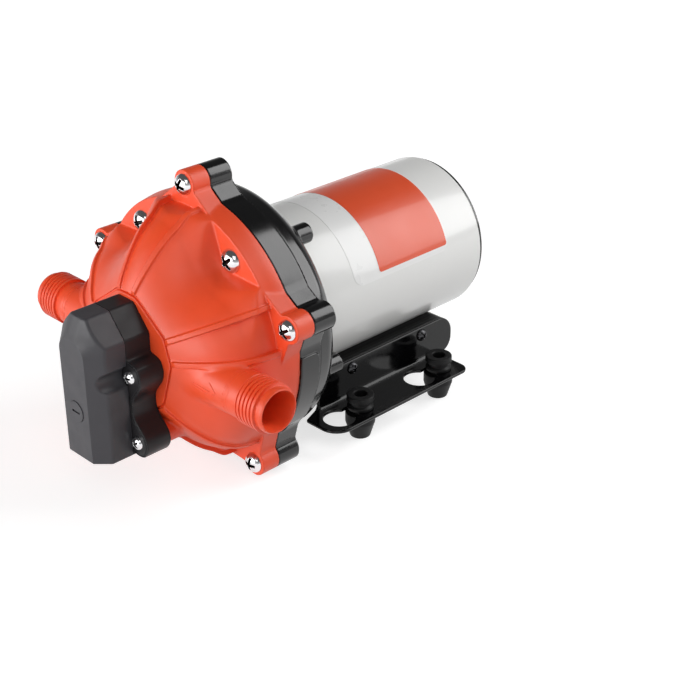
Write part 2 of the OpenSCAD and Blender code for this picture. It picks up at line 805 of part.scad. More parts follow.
module hub_set_screw() {
    color("dimgray") on_pump_axis() translate([0, 0, (hub_w + hub_end_w) / 2]) rotate([-90, 0, 0])
        rod(1, shaft_r + run_clear, hub_r - 0.4);
}

module motor_shaft() {
    color("silver") on_pump_axis() rod(shaft_r, wobble_w + race_s + 1, can_rear_w - 1 - move_clear);
}

module motor_outer_race() {
    color("silver") on_pump_axis() outer_race(shaft_r, motor_race_r, motor_race_w0, motor_race_w);
}

module motor_balls() {
    color("silver") on_pump_axis() ball_cage(shaft_r, motor_race_r, motor_race_w0, motor_race_w, 7);
}

module motor_inner_race() {
    color("silver") on_pump_axis() inner_race(shaft_r, motor_race_r, motor_race_w0, motor_race_w);
}

module armature_core() {
    color("gray") on_pump_axis() difference() {
        tube(shaft_r + run_clear / 2, core_r, core_w, core_rear_w);
        for (i = [0:core_slots - 1]) rotate(i * 360 / core_slots) {
            translate([bar_pitch_r, 0, 0]) rod(bar_r + 0.3, core_w - 1, core_rear_w + 1);
            translate([bar_pitch_r, -0.6, core_w - 1]) cube([core_r, 1.2, core_len + 2]);
        }
    }
}

// Copper bars in the core's slots, joined by an end ring at each end
module armature_winding() {
    ring_in_r = commutator_r + 1;
    color("chocolate") on_pump_axis() {
        for (w = [core_w - winding_end, core_rear_w + run_clear])
            tube(ring_in_r, bar_pitch_r + bar_r - 0.2, w, w + winding_end - run_clear);
        for (i = [0:core_slots - 1]) at_polar(bar_pitch_r, i * 360 / core_slots)
            rod(bar_r, core_w - winding_end / 2, core_rear_w + winding_end / 2);
    }
}

module commutator() {
    color("peru") on_pump_axis() difference() {
        tube(shaft_r + run_clear / 2, commutator_r, commutator_w, commutator_w + commutator_len);
        for (i = [0:core_slots - 1]) rotate(i * 360 / core_slots)
            translate([commutator_r - 1.2, -0.3, commutator_w - 1]) cube([3, 0.6, commutator_len + 2]);
    }
}

module magnets() {
    outer = can_r - can_t - run_clear;
    color("#3a3a3e") on_pump_axis() intersection() {
        translate([0, 0, core_w + (core_len - magnet_len) / 2]) tube(outer - magnet_t, outer, 0, magnet_len);
        at_brushes() linear_extrude(4 * can_len, center = true)
            polygon([[0, 0], [2 * can_r, -2.6 * can_r], [2 * can_r, 2.6 * can_r]]);
    }
}

module motor_can() {
    color("white") on_pump_axis() rotate_extrude()
        polygon(concat([[can_r - can_t, bell_rear_w], [can_r, bell_rear_w]],
            [for (a = [0:15:90]) [can_r - can_t * (1 - cos(a)), can_rear_w - can_t * (1 - sin(a))]]));
}

module motor_label() {
    inner = can_r + run_clear / 2;
    reach = 2 * can_r;
    color("orangered") on_pump_axis() intersection() {
        tube(inner, inner + label_t, -label_ahead, label_len - label_ahead);
        linear_extrude(4 * can_len, center = true) polygon(concat([[0, 0]], [for (i = [0:4])
            let (a = label_to + (label_from - label_to) * i / 4) reach * [cos(a), sin(a)]]));
    }
}

// Plate inside the can with a box round each brush
module brush_plate() {
    back = brush_end + brush_spring_len + run_clear;
    low = brush_mid_w - brush_w / 2;
    color("saddlebrown") on_pump_axis() difference() {
        union() {
            rod(can_r - can_t - run_clear, brush_plate_w, brush_plate_w + brush_plate_t);
            at_brushes() translate([brush_tip + 2, -brush_t / 2 - holder_wall, low - holder_wall])
                cube([back - brush_tip - 2 + holder_wall, brush_t + 2 * holder_wall,
                    brush_plate_w + eps - low + holder_wall]);
        }
        rod(commutator_r + 1, brush_mid_w - commutator_len, brush_plate_w + brush_plate_t + 1);
        at_brushes() translate([0, -brush_t / 2 - run_clear, low - run_clear])
            cube([back, brush_t + 2 * run_clear, brush_w + 2 * run_clear]);
        at_bolts() rod(bolt_r + hole_clear, brush_plate_w - 1, cap_w);
    }
}

module brushes() {
    color("#2c2c2e") on_pump_axis() at_brushes() difference() {
        translate([brush_tip - 1.5, -brush_t / 2, brush_mid_w - brush_w / 2])
            cube([brush_len + 1.5, brush_t, brush_w]);
        rod(brush_tip, brush_mid_w - brush_w, brush_mid_w + brush_w);
    }
}

module brush_springs() {
    color("silver") on_pump_axis() at_brushes() translate([brush_end, 0, brush_mid_w]) rotate([0, 90, 0])
        tube(1.5, 2.3, run_clear, brush_spring_len);
}

module rear_bush() {
    color("darkgoldenrod") on_pump_axis() tube(shaft_r + run_clear, bush_r, cap_w - 4, can_rear_w - 1);
}

module motor_end_cap() {
    wall_r = can_r - can_t - run_clear;
    color("#1a1a1c") on_pump_axis() difference() {
        union() {
            rod(wall_r, cap_w, can_rear_w + eps);
            rod(can_r - 1, can_rear_w, can_rear_w + cap_lip);
            tube(wall_r - 3, wall_r, brush_plate_w + brush_plate_t, cap_w + eps);
            rod(bush_r + 3, cap_w - 4, cap_w + eps);
        }
        rod(bush_r + run_clear / 2, cap_w - 5, can_rear_w - 1);
        at_bolts() rod(bolt_r + hole_clear, brush_plate_w, can_rear_w + 9);
        translate([0, -grommet_drop, 0]) rod(grommet_bore_r + 1.8, cap_w - 1, can_rear_w + 9);
    }
}

module through_bolts() {
    head_w = can_rear_w + cap_lip;
    color("silver") on_pump_axis() at_bolts() translate([0, 0, head_w]) rotate([180, 0, 0])
        pan_screw(bolt_r, bolt_r * 1.7, head_w - bell_rear_w + 2);
}

module wire_grommet() {
    face_w = can_rear_w + cap_lip;
    color("#202022") on_pump_axis() translate([0, -grommet_drop, 0]) difference() {
        union() {
            rod(grommet_bore_r + 1.8 - seat_clear, cap_w, face_w + eps);
            rod(grommet_bore_r + 3, face_w, face_w + 1.4);
        }
        rod(grommet_bore_r, cap_w - 1, face_w + 9);
    }
}

// Front outline of the switch box with its two cut upper corners
module switch_outline(inset) {
    half = switch_half_w - inset;
    low = inset - switch_bottom;
    high = switch_top - inset;
    crown = switch_crown - inset / 2;
    cut = switch_top - switch_cut;
    polygon([[-half, low], [half, low], [half, cut], [crown, high], [-crown, high], [-half, cut]]);
}

// Box with the cover's front chamfers, drawn back to the given station
module switch_box(inset, rear_w) {
    front = cover_w + inset;
    half = switch_half_w - inset;
    flat = switch_half_w - switch_chamfer;
    side = -front - switch_chamfer + inset / 2;
    span = switch_top + switch_bottom;
    intersection() {
        translate([0, 0, front]) linear_extrude(rear_w - front) switch_outline(inset);
        translate([0, -2 * span, 0]) rotate([-90, 0, 0]) linear_extrude(4 * span)
            polygon([[-flat, -front], [flat, -front], [half, side], [half, -rear_w],
                [-half, -rear_w], [-half, side]]);
        rotate([0, -90, 0]) linear_extrude(4 * span, center = true)
            polygon([[front, -2 * span], [front, switch_top - switch_brow],
                [front + switch_brow / 2, switch_top + 1],
                [rear_w, switch_top + 1], [rear_w, -2 * span]]);
    }
}

module at_plunger() {
    on_pump_axis() translate([0, -plunger_drop, 0]) children();
}

module switch_base() {
    color("#242426") difference() {
        on_pump_axis() difference() {
            translate([0, 0, switch_w]) linear_extrude(switch_base_t) {
                switch_outline(0);
                for (s = [-1, 1], p = [switch_upper, switch_lower]) translate([s * p.x, p.y]) circle(ear_r);
            }
            switch_holes(switch_screw_r + hole_clear, switch_w - 1, border_w + 1);
            translate([-micro_half_w - move_clear, -plunger_drop, switch_w - 1])
                cube([2 * (micro_half_w + move_clear), plunger_drop + switch_top - 6, switch_base_t - 1]);
        }
        at_plunger() {
            rod(membrane_r + seat_clear, spring_w - plunger_travel - move_clear, border_w + 1);
            rod(adjust_r + 1.5, switch_w - 1, border_w);
        }
    }
}

// The upper screws' half round notches in the sides of the cover
module at_notches() {
    for (s = [-1, 1]) translate([s * switch_upper.x, switch_upper.y, 0]) children();
}

module switch_cover() {
    color("#3a3c40") difference() {
        on_pump_axis() difference() {
            switch_box(0, switch_w);
            difference() {
                switch_box(switch_wall, switch_w + 1);
                translate([0, -plunger_drop, 0]) rod(adjust_r + 2.5, cover_w, adjust_w + 1);
                at_notches() rod(notch_r + switch_wall, cover_w, switch_w + 2);
            }
            at_notches() rod(notch_r, cover_w - 1, switch_w + 1);
        }
        at_plunger() {
            rod(adjust_r + run_clear, adjust_w - adjust_t - 1, switch_w + 1);
            rod(plug_r + run_clear, cover_w - 1, switch_w);
        }
    }
}

module switch_screws() {
    color("silver") on_pump_axis() for (s = [-1, 1], p = [switch_upper, switch_lower])
        translate([s * p.x, p.y, switch_w])
            pan_screw(switch_screw_r, switch_head_r, switch_base_t + switch_grip - 1);
}

module switch_membrane() {
    color("darkslategray") at_plunger() rod(membrane_r, border_w - membrane_t, border_w);
}

// Plunger disc with a stem forward and an arm up to the micro switch
module switch_plunger() {
    color("ivory") at_plunger() {
        rod(plunger_disc_r, plunger_w - plunger_disc_t, plunger_w);
        rod(stem_r, adjust_w - 2, plunger_w);
        translate([-2, 0, plunger_w - plunger_disc_t]) cube([4, arm_v + 2, plunger_disc_t]);
    }
}

// Rings of points along the spring wire, then the faces that join them
spring_steps = spring_turns * 8;
function spring_point(i) =
    let (a = 360 * i / 8, t = i / spring_steps)
    [spring_r * cos(a), spring_r * sin(a), spring_w - spring_wire_r - t * (spring_len - 2 * spring_wire_r)];
function spring_ring(i) =
    let (a = 360 * i / 8, c = spring_point(i))
    [for (j = [0:5]) let (b = 60 * j) c + spring_wire_r * [cos(a) * cos(b), sin(a) * cos(b), sin(b)]];

module switch_spring() {
    points = [for (i = [0:spring_steps]) each spring_ring(i)];
    sides = [for (i = [0:spring_steps - 1], j = [0:5], t = [0, 1])
        let (a = 6 * i + j, b = 6 * i + (j + 1) % 6)
        t == 0 ? [a, b, a + 6] : [b, b + 6, a + 6]];
    first = [for (j = [1:4]) [0, j + 1, j]];
    ends = [for (j = [1:4]) [6 * spring_steps, 6 * spring_steps + j, 6 * spring_steps + j + 1]];
    echo(spring_gap = (spring_len - 2 * spring_wire_r) / spring_turns - 2 * spring_wire_r);
    color("silver") at_plunger() polyhedron(points, concat(sides, first, ends));
}

module adjusting_screw() {
    color("darkgoldenrod") at_plunger() difference() {
        rod(adjust_r, adjust_w - adjust_t, adjust_w);
        rod(stem_r + hole_clear, adjust_w - adjust_t + 2, adjust_w + 1);
        translate([-adjust_r, -0.8, adjust_w - adjust_t - 1]) cube([2 * adjust_r, 1.6, 2.2]);
    }
}

module adjuster_plug() {
    color("#3a3c40") at_plunger() difference() {
        rod(plug_r, cover_w - 0.3, cover_w + plug_t - 0.3);
        translate([-plug_r * 0.55, -0.5, cover_w - 1]) cube([plug_r * 1.1, 1, 1.3]);
    }
}

module micro_switch() {
    low = -plunger_drop + arm_v - 4;
    color("#28282a") on_pump_axis() difference() {
        translate([-micro_half_w, low, micro_w - micro_t])
            cube([2 * micro_half_w, switch_top - 7 - low, micro_t]);
        translate([0, -plunger_drop + arm_v, 0]) rod(button_r + run_clear, micro_w - 4, micro_w + 1);
    }
}

module micro_switch_button() {
    color("firebrick") on_pump_axis() translate([0, -plunger_drop + arm_v, 0])
        rod(button_r, micro_w - 2, plunger_w - plunger_disc_t - run_clear);
}

// Sheet cradle under the can with a strip and a leg on each side, inside the rails
module motor_saddle() {
    leg_y = web_y - sheet_t;
    strip_y = sqrt(pow(saddle_r + sheet_t / 2, 2) - pow(cradle_v, 2));
    color("#141416") difference() {
        translate([-web_ahead, 0, axis_height]) rotate([90, 0, 90]) linear_extrude(web_len) {
            difference() {
                circle(saddle_r + sheet_t);
                circle(saddle_r);
                translate([-2 * can_r, cradle_v]) square(4 * can_r);
            }
            for (m = [0, 1]) mirror([m, 0]) {
                translate([strip_y, cradle_v - sheet_t]) square([leg_y - strip_y, sheet_t]);
                translate([leg_y - sheet_t, rail_top_v - leg_h])
                    square([sheet_t, cradle_v - rail_top_v + leg_h]);
            }
        }
        for (m = [0, 1]) mirror([0, m, 0]) at_rail_screws()
            rod(rail_screw_r + run_clear, 0, rail_screw_len + 1);
    }
}

// Near side rail screws, pointing inward from the web's outer face
module at_rail_screws() {
    for (s = [-1, 1])
        translate([rail_screw_x + s * rail_screw_pitch / 2, -web_y, rail_top - rail_screw_drop])
            rotate([-90, 0, 0]) children();
}

module rail() {
    hole_y = -foot_pitch_y / 2;
    color("#141416") difference() {
        union() {
            translate([-rail_ahead, -rail_y, rail_z]) linear_extrude(sheet_t)
                union() {
                    round_rect([rail_len, rail_y - web_y + sheet_t], 6);
                    translate([10, 10]) square([rail_len - 20, rail_y - web_y + sheet_t - 10]);
                }
            translate([-web_ahead, -web_y + sheet_t, rail_z]) rotate([90, 0, 0]) linear_extrude(sheet_t)
                round_rect([web_len, rail_top - rail_z], 5);
        }
        for (s = [-1, 1]) translate([s * foot_pitch_x / 2, hole_y, rail_z - 1]) {
            cylinder(r = foot_neck_r + run_clear, h = sheet_t + 2);
            translate([-foot_travel, 0, 0]) cylinder(r = key_r, h = sheet_t + 2);
            translate([-foot_travel, -foot_neck_r - run_clear, 0])
                cube([foot_travel, 2 * (foot_neck_r + run_clear), sheet_t + 2]);
        }
        at_rail_screws() rod(rail_screw_r + run_clear, -1, sheet_t + 1);
    }
}

module near_rail() {
    rail();
}

module far_rail() {
    mirror([0, 1, 0]) rail();
}

module rail_screws() {
    color("dimgray") for (m = [0, 1]) mirror([0, m, 0]) at_rail_screws()
        pan_screw(rail_screw_r, rail_head_r, rail_screw_len);
}

// Rubber foot: a tapered lower body, a neck in the keyhole and two rings above it
module foot(sx, sy) {
    seat = rail_z - run_clear;
    above = seat + foot_seat_h;
    ring_r = foot_r - 0.25;
    color("#18181a") translate([sx * foot_pitch_x / 2, sy * foot_pitch_y / 2, 0]) rotate_extrude()
        polygon([[foot_bore_r, 0], [foot_r - 1.8, 0], [foot_r - 1.4, 1], [foot_r, 8], [foot_r, seat],
            [foot_neck_r, seat], [foot_neck_r, above], [ring_r, above], [ring_r, above + 1.6],
            [ring_r - 0.9, above + 2.4], [ring_r - 0.9, foot_h - 3], [ring_r, foot_h - 2.4],
            [ring_r, foot_h - 0.5], [ring_r - 0.5, foot_h], [foot_bore_r, foot_h]]);
}

module near_front_foot() {
    foot(-1, -1);
}

module near_rear_foot() {
    foot(1, -1);
}

module far_front_foot() {
    foot(-1, 1);
}

module far_rear_foot() {
    foot(1, 1);
}

pump_head();
head_seals();
valve_plate();
inlet_valves();
outlet_valve();
diaphragm();
drive_housing();
lug_screws();
inner_screws();
motor_flange();
pistons();
piston_screws();
wobble_plate();
wobble_outer_race();
wobble_balls();
wobble_inner_race();
eccentric_hub();
hub_set_screw();
motor_shaft();
motor_outer_race();
motor_balls();
motor_inner_race();
armature_core();
armature_winding();
commutator();
magnets();
motor_can();
motor_label();
brush_plate();
brushes();
brush_springs();
rear_bush();
motor_end_cap();
through_bolts();
wire_grommet();
switch_base();
switch_cover();
switch_screws();
switch_membrane();
switch_plunger();
switch_spring();
adjusting_screw();
adjuster_plug();
micro_switch();
micro_switch_button();
motor_saddle();
near_rail();
far_rail();
rail_screws();
near_front_foot();
near_rear_foot();
far_front_foot();
far_rear_foot();
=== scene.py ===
import functools
import json
import math
from concurrent.futures import ThreadPoolExecutor

import bpy
import numpy as np
from mathutils import Matrix, Vector


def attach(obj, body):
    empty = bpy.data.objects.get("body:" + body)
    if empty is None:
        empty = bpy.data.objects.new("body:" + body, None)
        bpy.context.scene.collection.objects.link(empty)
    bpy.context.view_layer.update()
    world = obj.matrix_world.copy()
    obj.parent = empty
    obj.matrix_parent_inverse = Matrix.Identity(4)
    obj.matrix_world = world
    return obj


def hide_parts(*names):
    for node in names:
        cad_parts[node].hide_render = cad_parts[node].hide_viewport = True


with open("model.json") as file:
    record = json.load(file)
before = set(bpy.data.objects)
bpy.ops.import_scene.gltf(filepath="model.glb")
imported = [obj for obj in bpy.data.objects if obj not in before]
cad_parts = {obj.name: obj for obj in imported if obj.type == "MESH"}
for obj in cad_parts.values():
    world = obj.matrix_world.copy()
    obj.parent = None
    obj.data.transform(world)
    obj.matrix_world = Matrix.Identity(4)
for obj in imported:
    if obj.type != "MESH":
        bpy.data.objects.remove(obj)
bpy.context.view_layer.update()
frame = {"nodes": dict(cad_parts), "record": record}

# Sizes are in millimetres, in the frame of the part: x along the pump, y across it, z up.
# Angles are typed in degrees.
MM = 0.001
AXIS_Z = 60.5
LUG_STEP = 72
FIRST_LUG = 90
FIRST_LOBE = FIRST_LUG + LUG_STEP / 2

# Stations along the pump, from the switch back to the motor's rear
COVER_X = -144.5
BASE_X = -128.5
BORDER_X = -116.5
PORT_X = -102.5
SHOULDER_X = -86.3
FLANGE_X = -82
CLAMP_X = -75.5
SEAM_X = -64
BELL_X = -51
CAN_REAR_X = 58.5

FLANGE_R = 57
LUG_PITCH = 63
LUG_R = 6
INNER_PITCH = 48
INNER_SCREWS = (54, 126, 270)
INNER_HOLE_R = 2.25
THREAD_HOLE_R = 2.05
CRANK_R = 35.5
CAN_R = 36.2
CAN_WALL = 1.5
BOLT_PITCH = CAN_R - 5.2

BORDER_R = 27
BORDER_SIDE = 6
BORDER_HALF = math.asin(BORDER_SIDE / BORDER_R)
LOBE_FLAT = BORDER_R * math.cos(math.radians(LUG_STEP / 2) - BORDER_HALF)
SPINE_FLAT = BORDER_R * math.cos(BORDER_HALF)

PORT_Z = 56.8
PORT_BORE = 7.5
PORT_END = 74
PORT_COLLAR = 52.5
FAIRING_ROOT = 33
FAIRING_R = 11.2
FAIRING_RISE = 0.9
COLLAR_R = 9.85
COLLAR_LINES = (53.3, 54.7)
THREAD_ROOT = 9.4
MOUTH_R = 8.55
TIP_R = 9.05
THREAD_R = 10.45
THREAD_PITCH = 1.98
THREAD_FROM = 59.8
THREAD_TO = 70.9

SWITCH_UPPER = (15.5, -1.7)
SWITCH_LOWER = (17.5, -31)
PLUNGER_DROP = 17

# Edge radii that the mouldings share
FINE_EDGE = 0.2
MOULD_EDGE = 0.3
BOSS_EDGE = 0.4
LUG_EDGE = 0.45
ROUND_EDGE = 0.5

# How far a cut runs past the face that it opens
PAST = 1

# Most triangles in a shaped piece
MOST_TRIANGLES = 120000


# Rounded joins of distance fields, negative inside the material
def meet(a, b, radius=0.0):
    """What a and b share, with its edge rounded."""
    if not radius:
        return np.maximum(a, b)
    a = a + radius
    b = b + radius
    inner = np.minimum(np.maximum(a, b), 0)
    return inner + np.hypot(np.maximum(a, 0), np.maximum(b, 0)) - radius


def join(a, b, radius=0.0):
    """a and b together, with a fillet where they meet."""
    return -meet(-a, -b, radius)


def cut(a, b, radius=0.0):
    """a without b, with the new edge rounded."""
    return meet(a, -b, radius)


def soft_max(a, b, width):
    """The larger of a and b, blended where they differ by less than width."""
    near = np.maximum(width - np.abs(a - b), 0) / width
    return np.maximum(a, b) + near * near * width / 4


def between(value, low, high):
    """Negative where a value lies between two others."""
    return np.maximum(low - value, value - high)


def ramp(value, low, high):
    """A smooth rise from zero to one while a value goes from low to high."""
    t = np.clip((value - low) / (high - low), 0, 1)
    return t * t * (3 - 2 * t)


def all_of(*parts):
    """What all the parts share, with sharp edges."""
    return functools.reduce(np.maximum, parts)


def any_of(*parts):
    """All the parts together, with no fillets."""
    return functools.reduce(np.minimum, parts)


def rod(y, z, x, radius, x0, x1, edge=0.0):
    """A rod along the pump axis through y = z = 0 of the values that it is given."""
    return meet(np.hypot(y, z) - radius, between(x, x0, x1), edge)


def at_polar(y, z, radius, angle):
    """y and z counted from the point at that radius and angle about the pump axis."""
    a = math.radians(angle)
    return y - radius * math.cos(a), z - AXIS_Z - radius * math.sin(a)


def folded(y, z, first):
    """Distances outward and sideways from the nearest of five directions, the first at that angle."""
    v = z - AXIS_Z
    r = np.hypot(y, v)
    turn = math.radians(LUG_STEP)
    a = np.arctan2(v, y) - math.radians(first)
    a = (a + turn / 2) % turn - turn / 2
    return r * np.cos(a), np.abs(r * np.sin(a))


# Meshes from distance fields
def surface(field, low, high, cell):
    """Vertices and quads of the zero level of a field over a box, one vertex in each crossed cell."""
    axes = [np.arange(a, b + cell, cell, dtype=np.float32) for a, b in zip(low, high)]
    size = [len(a) for a in axes]
    grid = np.empty(size, np.float32)
    slab = 6

    def fill(i):
        x = axes[0][i:i + slab, None, None]
        grid[i:i + slab] = field(x, axes[1][None, :, None], axes[2][None, None, :])

    with ThreadPoolExecutor(4) as pool:
        list(pool.map(fill, range(0, size[0], slab)))
    inside = grid < 0
    corners = [(i, j, k) for i in (0, 1) for j in (0, 1) for k in (0, 1)]
    count = np.zeros([n - 1 for n in size], np.uint8)
    for i, j, k in corners:
        count += inside[i:size[0] - 1 + i, j:size[1] - 1 + j, k:size[2] - 1 + k]
    mixed = (count > 0) & (count < 8)
    cells = np.argwhere(mixed)
    number = np.full(mixed.shape, -1, np.int32)
    number[mixed] = np.arange(len(cells))

    values = np.stack([grid[tuple((cells + c).T)] for c in corners], 1)
    total = np.zeros((len(cells), 3))
    crossed = np.zeros(len(cells))
    for a, ca in enumerate(corners):
        for b, cb in enumerate(corners):
            if a >= b or sum(abs(p - q) for p, q in zip(ca, cb)) != 1:
                continue
            change = (values[:, a] < 0) != (values[:, b] < 0)
            span = np.where(change, values[:, a] - values[:, b], 1)
            t = values[:, a] / span
            point = np.array(ca) + t[:, None] * (np.array(cb) - np.array(ca))
            total[change] += point[change]
            crossed += change
    points = np.array(low) + cell * (cells + total / crossed[:, None])

    quads = []
    for axis in range(3):
        b, c = (axis + 1) % 3, (axis + 2) % 3
        near = [slice(1, n - 1) for n in size]
        near[axis] = slice(0, size[axis] - 1)
        far = list(near)
        far[axis] = slice(1, size[axis])
        change = inside[tuple(near)] != inside[tuple(far)]
        at = np.argwhere(change)
        at[:, b] += 1
        at[:, c] += 1
        leaving = inside[tuple(near)][change]
        corner = []
        for db, dc in ((-1, -1), (0, -1), (0, 0), (-1, 0)):
            cell_at = at.copy()
            cell_at[:, b] += db
            cell_at[:, c] += dc
            corner.append(number[tuple(cell_at.T)])
        quad = np.stack(corner, 1)
        quad[~leaving] = quad[~leaving][:, ::-1]
        quads.append(quad)
    return points, np.concatenate(quads)


def slope(field, points, reach):
    """Gradient of a field at points."""
    result = np.empty_like(points)
    for axis in range(3):
        ahead = points.copy()
        behind = points.copy()
        ahead[:, axis] += reach
        behind[:, axis] -= reach
        result[:, axis] = (field(*ahead.T) - field(*behind.T)) / (2 * reach)
    return result


def settle(field, points, reach, rounds):
    """Moves points onto the zero level of a field, a few times reach at most in each round."""
    farthest = 4 * reach
    least_slope = 0.05
    for _ in range(rounds):
        g = slope(field, points, reach)
        step = field(*points.T) / np.maximum((g * g).sum(1), least_slope)
        points = points - np.clip(step, -farthest, farthest)[:, None] * g
    return points


def mesh_from(name, points, faces):
    """A mesh with all its faces smooth, from points in millimetres."""
    mesh = bpy.data.meshes.new(name)
    sides = faces.shape[1]
    mesh.vertices.add(len(points))
    mesh.vertices.foreach_set("co", (np.asarray(points) * MM).astype(np.float32).ravel())
    mesh.loops.add(faces.size)
    mesh.loops.foreach_set("vertex_index", faces.astype(np.int32).ravel())
    mesh.polygons.add(len(faces))
    mesh.polygons.foreach_set("loop_start", np.arange(0, faces.size, sides, dtype=np.int32))
    mesh.polygons.foreach_set("use_smooth", np.ones(len(faces), bool))
    mesh.update(calc_edges=True)
    mesh.validate()
    return mesh


def add(name, data):
    """A new object in the scene."""
    made = bpy.data.objects.new(name, data)
    bpy.context.collection.objects.link(made)
    return made


def put(name, mesh, body, slot, node=None, material=None):
    """Adds a mesh to the scene as a piece that rides on a body and may stand for a node."""
    piece = add(name, mesh)
    piece.data.materials.append(material or MATERIALS[slot])
    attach(piece, body)
    if node:
        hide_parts(node)


def thinned(mesh, share):
    """A copy of the mesh with that share of its triangles."""
    holder = add("holder", mesh)
    fewer = holder.modifiers.new("fewer", "DECIMATE")
    fewer.ratio = share
    graph = bpy.context.evaluated_depsgraph_get()
    result = bpy.data.meshes.new_from_object(holder.evaluated_get(graph))
    bpy.data.objects.remove(holder)
    return result


def mesh_points(mesh):
    """Points of a mesh, in millimetres."""
    points = np.empty(len(mesh.vertices) * 3, np.float32)
    mesh.vertices.foreach_get("co", points)
    return points.reshape(-1, 3).astype(np.float64) / MM


def field_normals(field, points, reach):
    """Outward directions of a field at points."""
    g = slope(field, points, reach)
    return g / np.maximum(np.linalg.norm(g, axis=1), 1e-9)[:, None]


def shaped(name, field, low, high, cell, most):
    """A mesh of a field over a box, with the normals of the field itself."""
    points, faces = surface(field, low, high, cell)
    reach = cell * 0.25
    points = settle(field, points, reach, rounds=3)
    mesh = mesh_from(name, points, faces)
    if 2 * len(faces) > most:
        mesh = thinned(mesh, most / (2 * len(faces)))
        points = settle(field, mesh_points(mesh), reach, rounds=2)
        mesh.vertices.foreach_set("co", (points * MM).astype(np.float32).ravel())
        mesh.polygons.foreach_set("use_smooth", np.ones(len(mesh.polygons), bool))
        mesh.update()
    mesh.normals_split_custom_set_from_vertices(field_normals(field, points, reach).astype(np.float32))
    return mesh


def grid_quads(rows, columns, wrap_rows=True, wrap_columns=True):
    """Quads of a grid of points, given row by row, that closes on itself where it wraps."""
    i = np.arange(rows if wrap_rows else rows - 1)
    j = np.arange(columns if wrap_columns else columns - 1)
    i, j = np.meshgrid(i, j, indexing="ij")
    i2, j2 = (i + 1) % rows, (j + 1) % columns
    corners = [i * columns + j, i2 * columns + j, i2 * columns + j2, i * columns + j2]
    return np.stack(corners, -1).reshape(-1, 4)


def ring_angles(count):
    """Angles that share a full turn evenly."""
    return np.linspace(0, 2 * math.pi, count, endpoint=False)


def turned(profiles):
    """Points of closed profiles of (radius, height), one for each even angle about z, and their quads."""
    a = ring_angles(len(profiles))[:, None]
    radius, height = profiles[:, :, 0], profiles[:, :, 1]
    points = np.stack([radius * np.cos(a), radius * np.sin(a), height], -1)
    return points.reshape(-1, 3), grid_quads(*radius.shape)


def lathe_points(profile, turns):
    """Points of one closed profile of (radius, height) turned about z, and their quads."""
    return turned(np.tile(np.array(profile, float), (turns, 1, 1)))


def rounded(profile, steps):
    """A closed outline of (x, y, radius) corners, each turned into an arc of that radius."""
    result = []
    n = len(profile)
    for i in range(n):
        p = np.array(profile[i][:2], float)
        radius = profile[i][2]
        if not radius:
            result.append(tuple(p))
            continue
        back = np.array(profile[i - 1][:2], float) - p
        ahead = np.array(profile[(i + 1) % n][:2], float) - p
        back /= np.linalg.norm(back)
        ahead /= np.linalg.norm(ahead)
        half = math.acos(np.clip(back @ ahead, -1, 1)) / 2
        middle = p + (back + ahead) / np.linalg.norm(back + ahead) * radius / math.sin(half)
        first = p + back * radius / math.tan(half) - middle
        last = p + ahead * radius / math.tan(half) - middle
        for k in range(steps + 1):
            d = first + (last - first) * k / steps
            result.append(tuple(middle + d / np.linalg.norm(d) * radius))
    return result


# Shared outlines
GUSSET_ANGLE = math.radians(13.6)
GUSSET_SINK = 0.3
GUSSET_DEPTH = 6
GUSSET_FILLET = 1.2
GUSSET_ROOT = (FLANGE_R - GUSSET_SINK) * np.array([math.cos(GUSSET_ANGLE), math.sin(GUSSET_ANGLE)])
GUSSET_TIP = np.array([LUG_PITCH - LUG_R / 3, LUG_R])
GUSSET_SIDE = GUSSET_TIP - GUSSET_ROOT
GUSSET_NORMAL = np.array([-GUSSET_SIDE[1], GUSSET_SIDE[0]]) / np.linalg.norm(GUSSET_SIDE)
BORDER_SOFT = 1.2


def lug_rods(y, z, radius):
    """Rods of that radius through the five lugs, seen along the pump."""
    out, side = folded(y, z, FIRST_LUG)
    return np.hypot(out - LUG_PITCH, side) - radius


def inner_holes(y, z, radius):
    """Holes of that radius for the inner screws, seen along the pump."""
    places = [at_polar(y, z, INNER_PITCH, a) for a in INNER_SCREWS]
    return any_of(*[np.hypot(*place) - radius for place in places])


def lug_outline(y, z):
    """The five lugs with their straight sided gussets, seen along the pump."""
    out, side = folded(y, z, FIRST_LUG)
    flank = (out - GUSSET_ROOT[0]) * GUSSET_NORMAL[0] + (side - GUSSET_ROOT[1]) * GUSSET_NORMAL[1]
    gusset = all_of(flank, between(out, GUSSET_ROOT[0] - GUSSET_DEPTH, GUSSET_TIP[0]))
    return join(gusset, lug_rods(y, z, LUG_R), GUSSET_FILLET)


def border_outline(y, z):
    """The border's ten sided outline."""
    spine, _ = folded(y, z, FIRST_LUG)
    lobe, _ = folded(y, z, FIRST_LOBE)
    return soft_max(spine - SPINE_FLAT, lobe - LOBE_FLAT, BORDER_SOFT)


# Pump head
LUG_X = FLANGE_X - 2.5
LUG_SEAT_R = 5.2
LUG_HOLE_R = 2.75
DOME_H = FLANGE_X - BORDER_X
DOME_END = FLANGE_R - 1.4
DOME_START = LOBE_FLAT + 0.6
DOME_POWER = 2.8
RIM_SPAN = (FLANGE_X - 5, CLAMP_X - 0.5)
RIB_ANGLE = math.radians(9.6)
RIB_HALF = 1.1
RIB_H = 1.0
RIB_START = 20
BAND_DROP = 1.3
BAND_END = FLANGE_X - 8
GROOVE_HALF = 0.4
GROOVE_DEPTH = 1.1
GROOVE_EDGE = 0.25
POCKET_X = FLANGE_X - 3
POCKET_LEAN = math.radians(20)
POCKET_TIP = (52.7, 16.7)
POCKET_FLANK = math.radians(34)
POCKET_ROUND = 5.6
POCKET_SOFT = 0.8
CREST_SOFT = 0.6
CREST_GROWTH = 15
CREST_SPAN = (0.5, 12)
FAIRING_START = 18
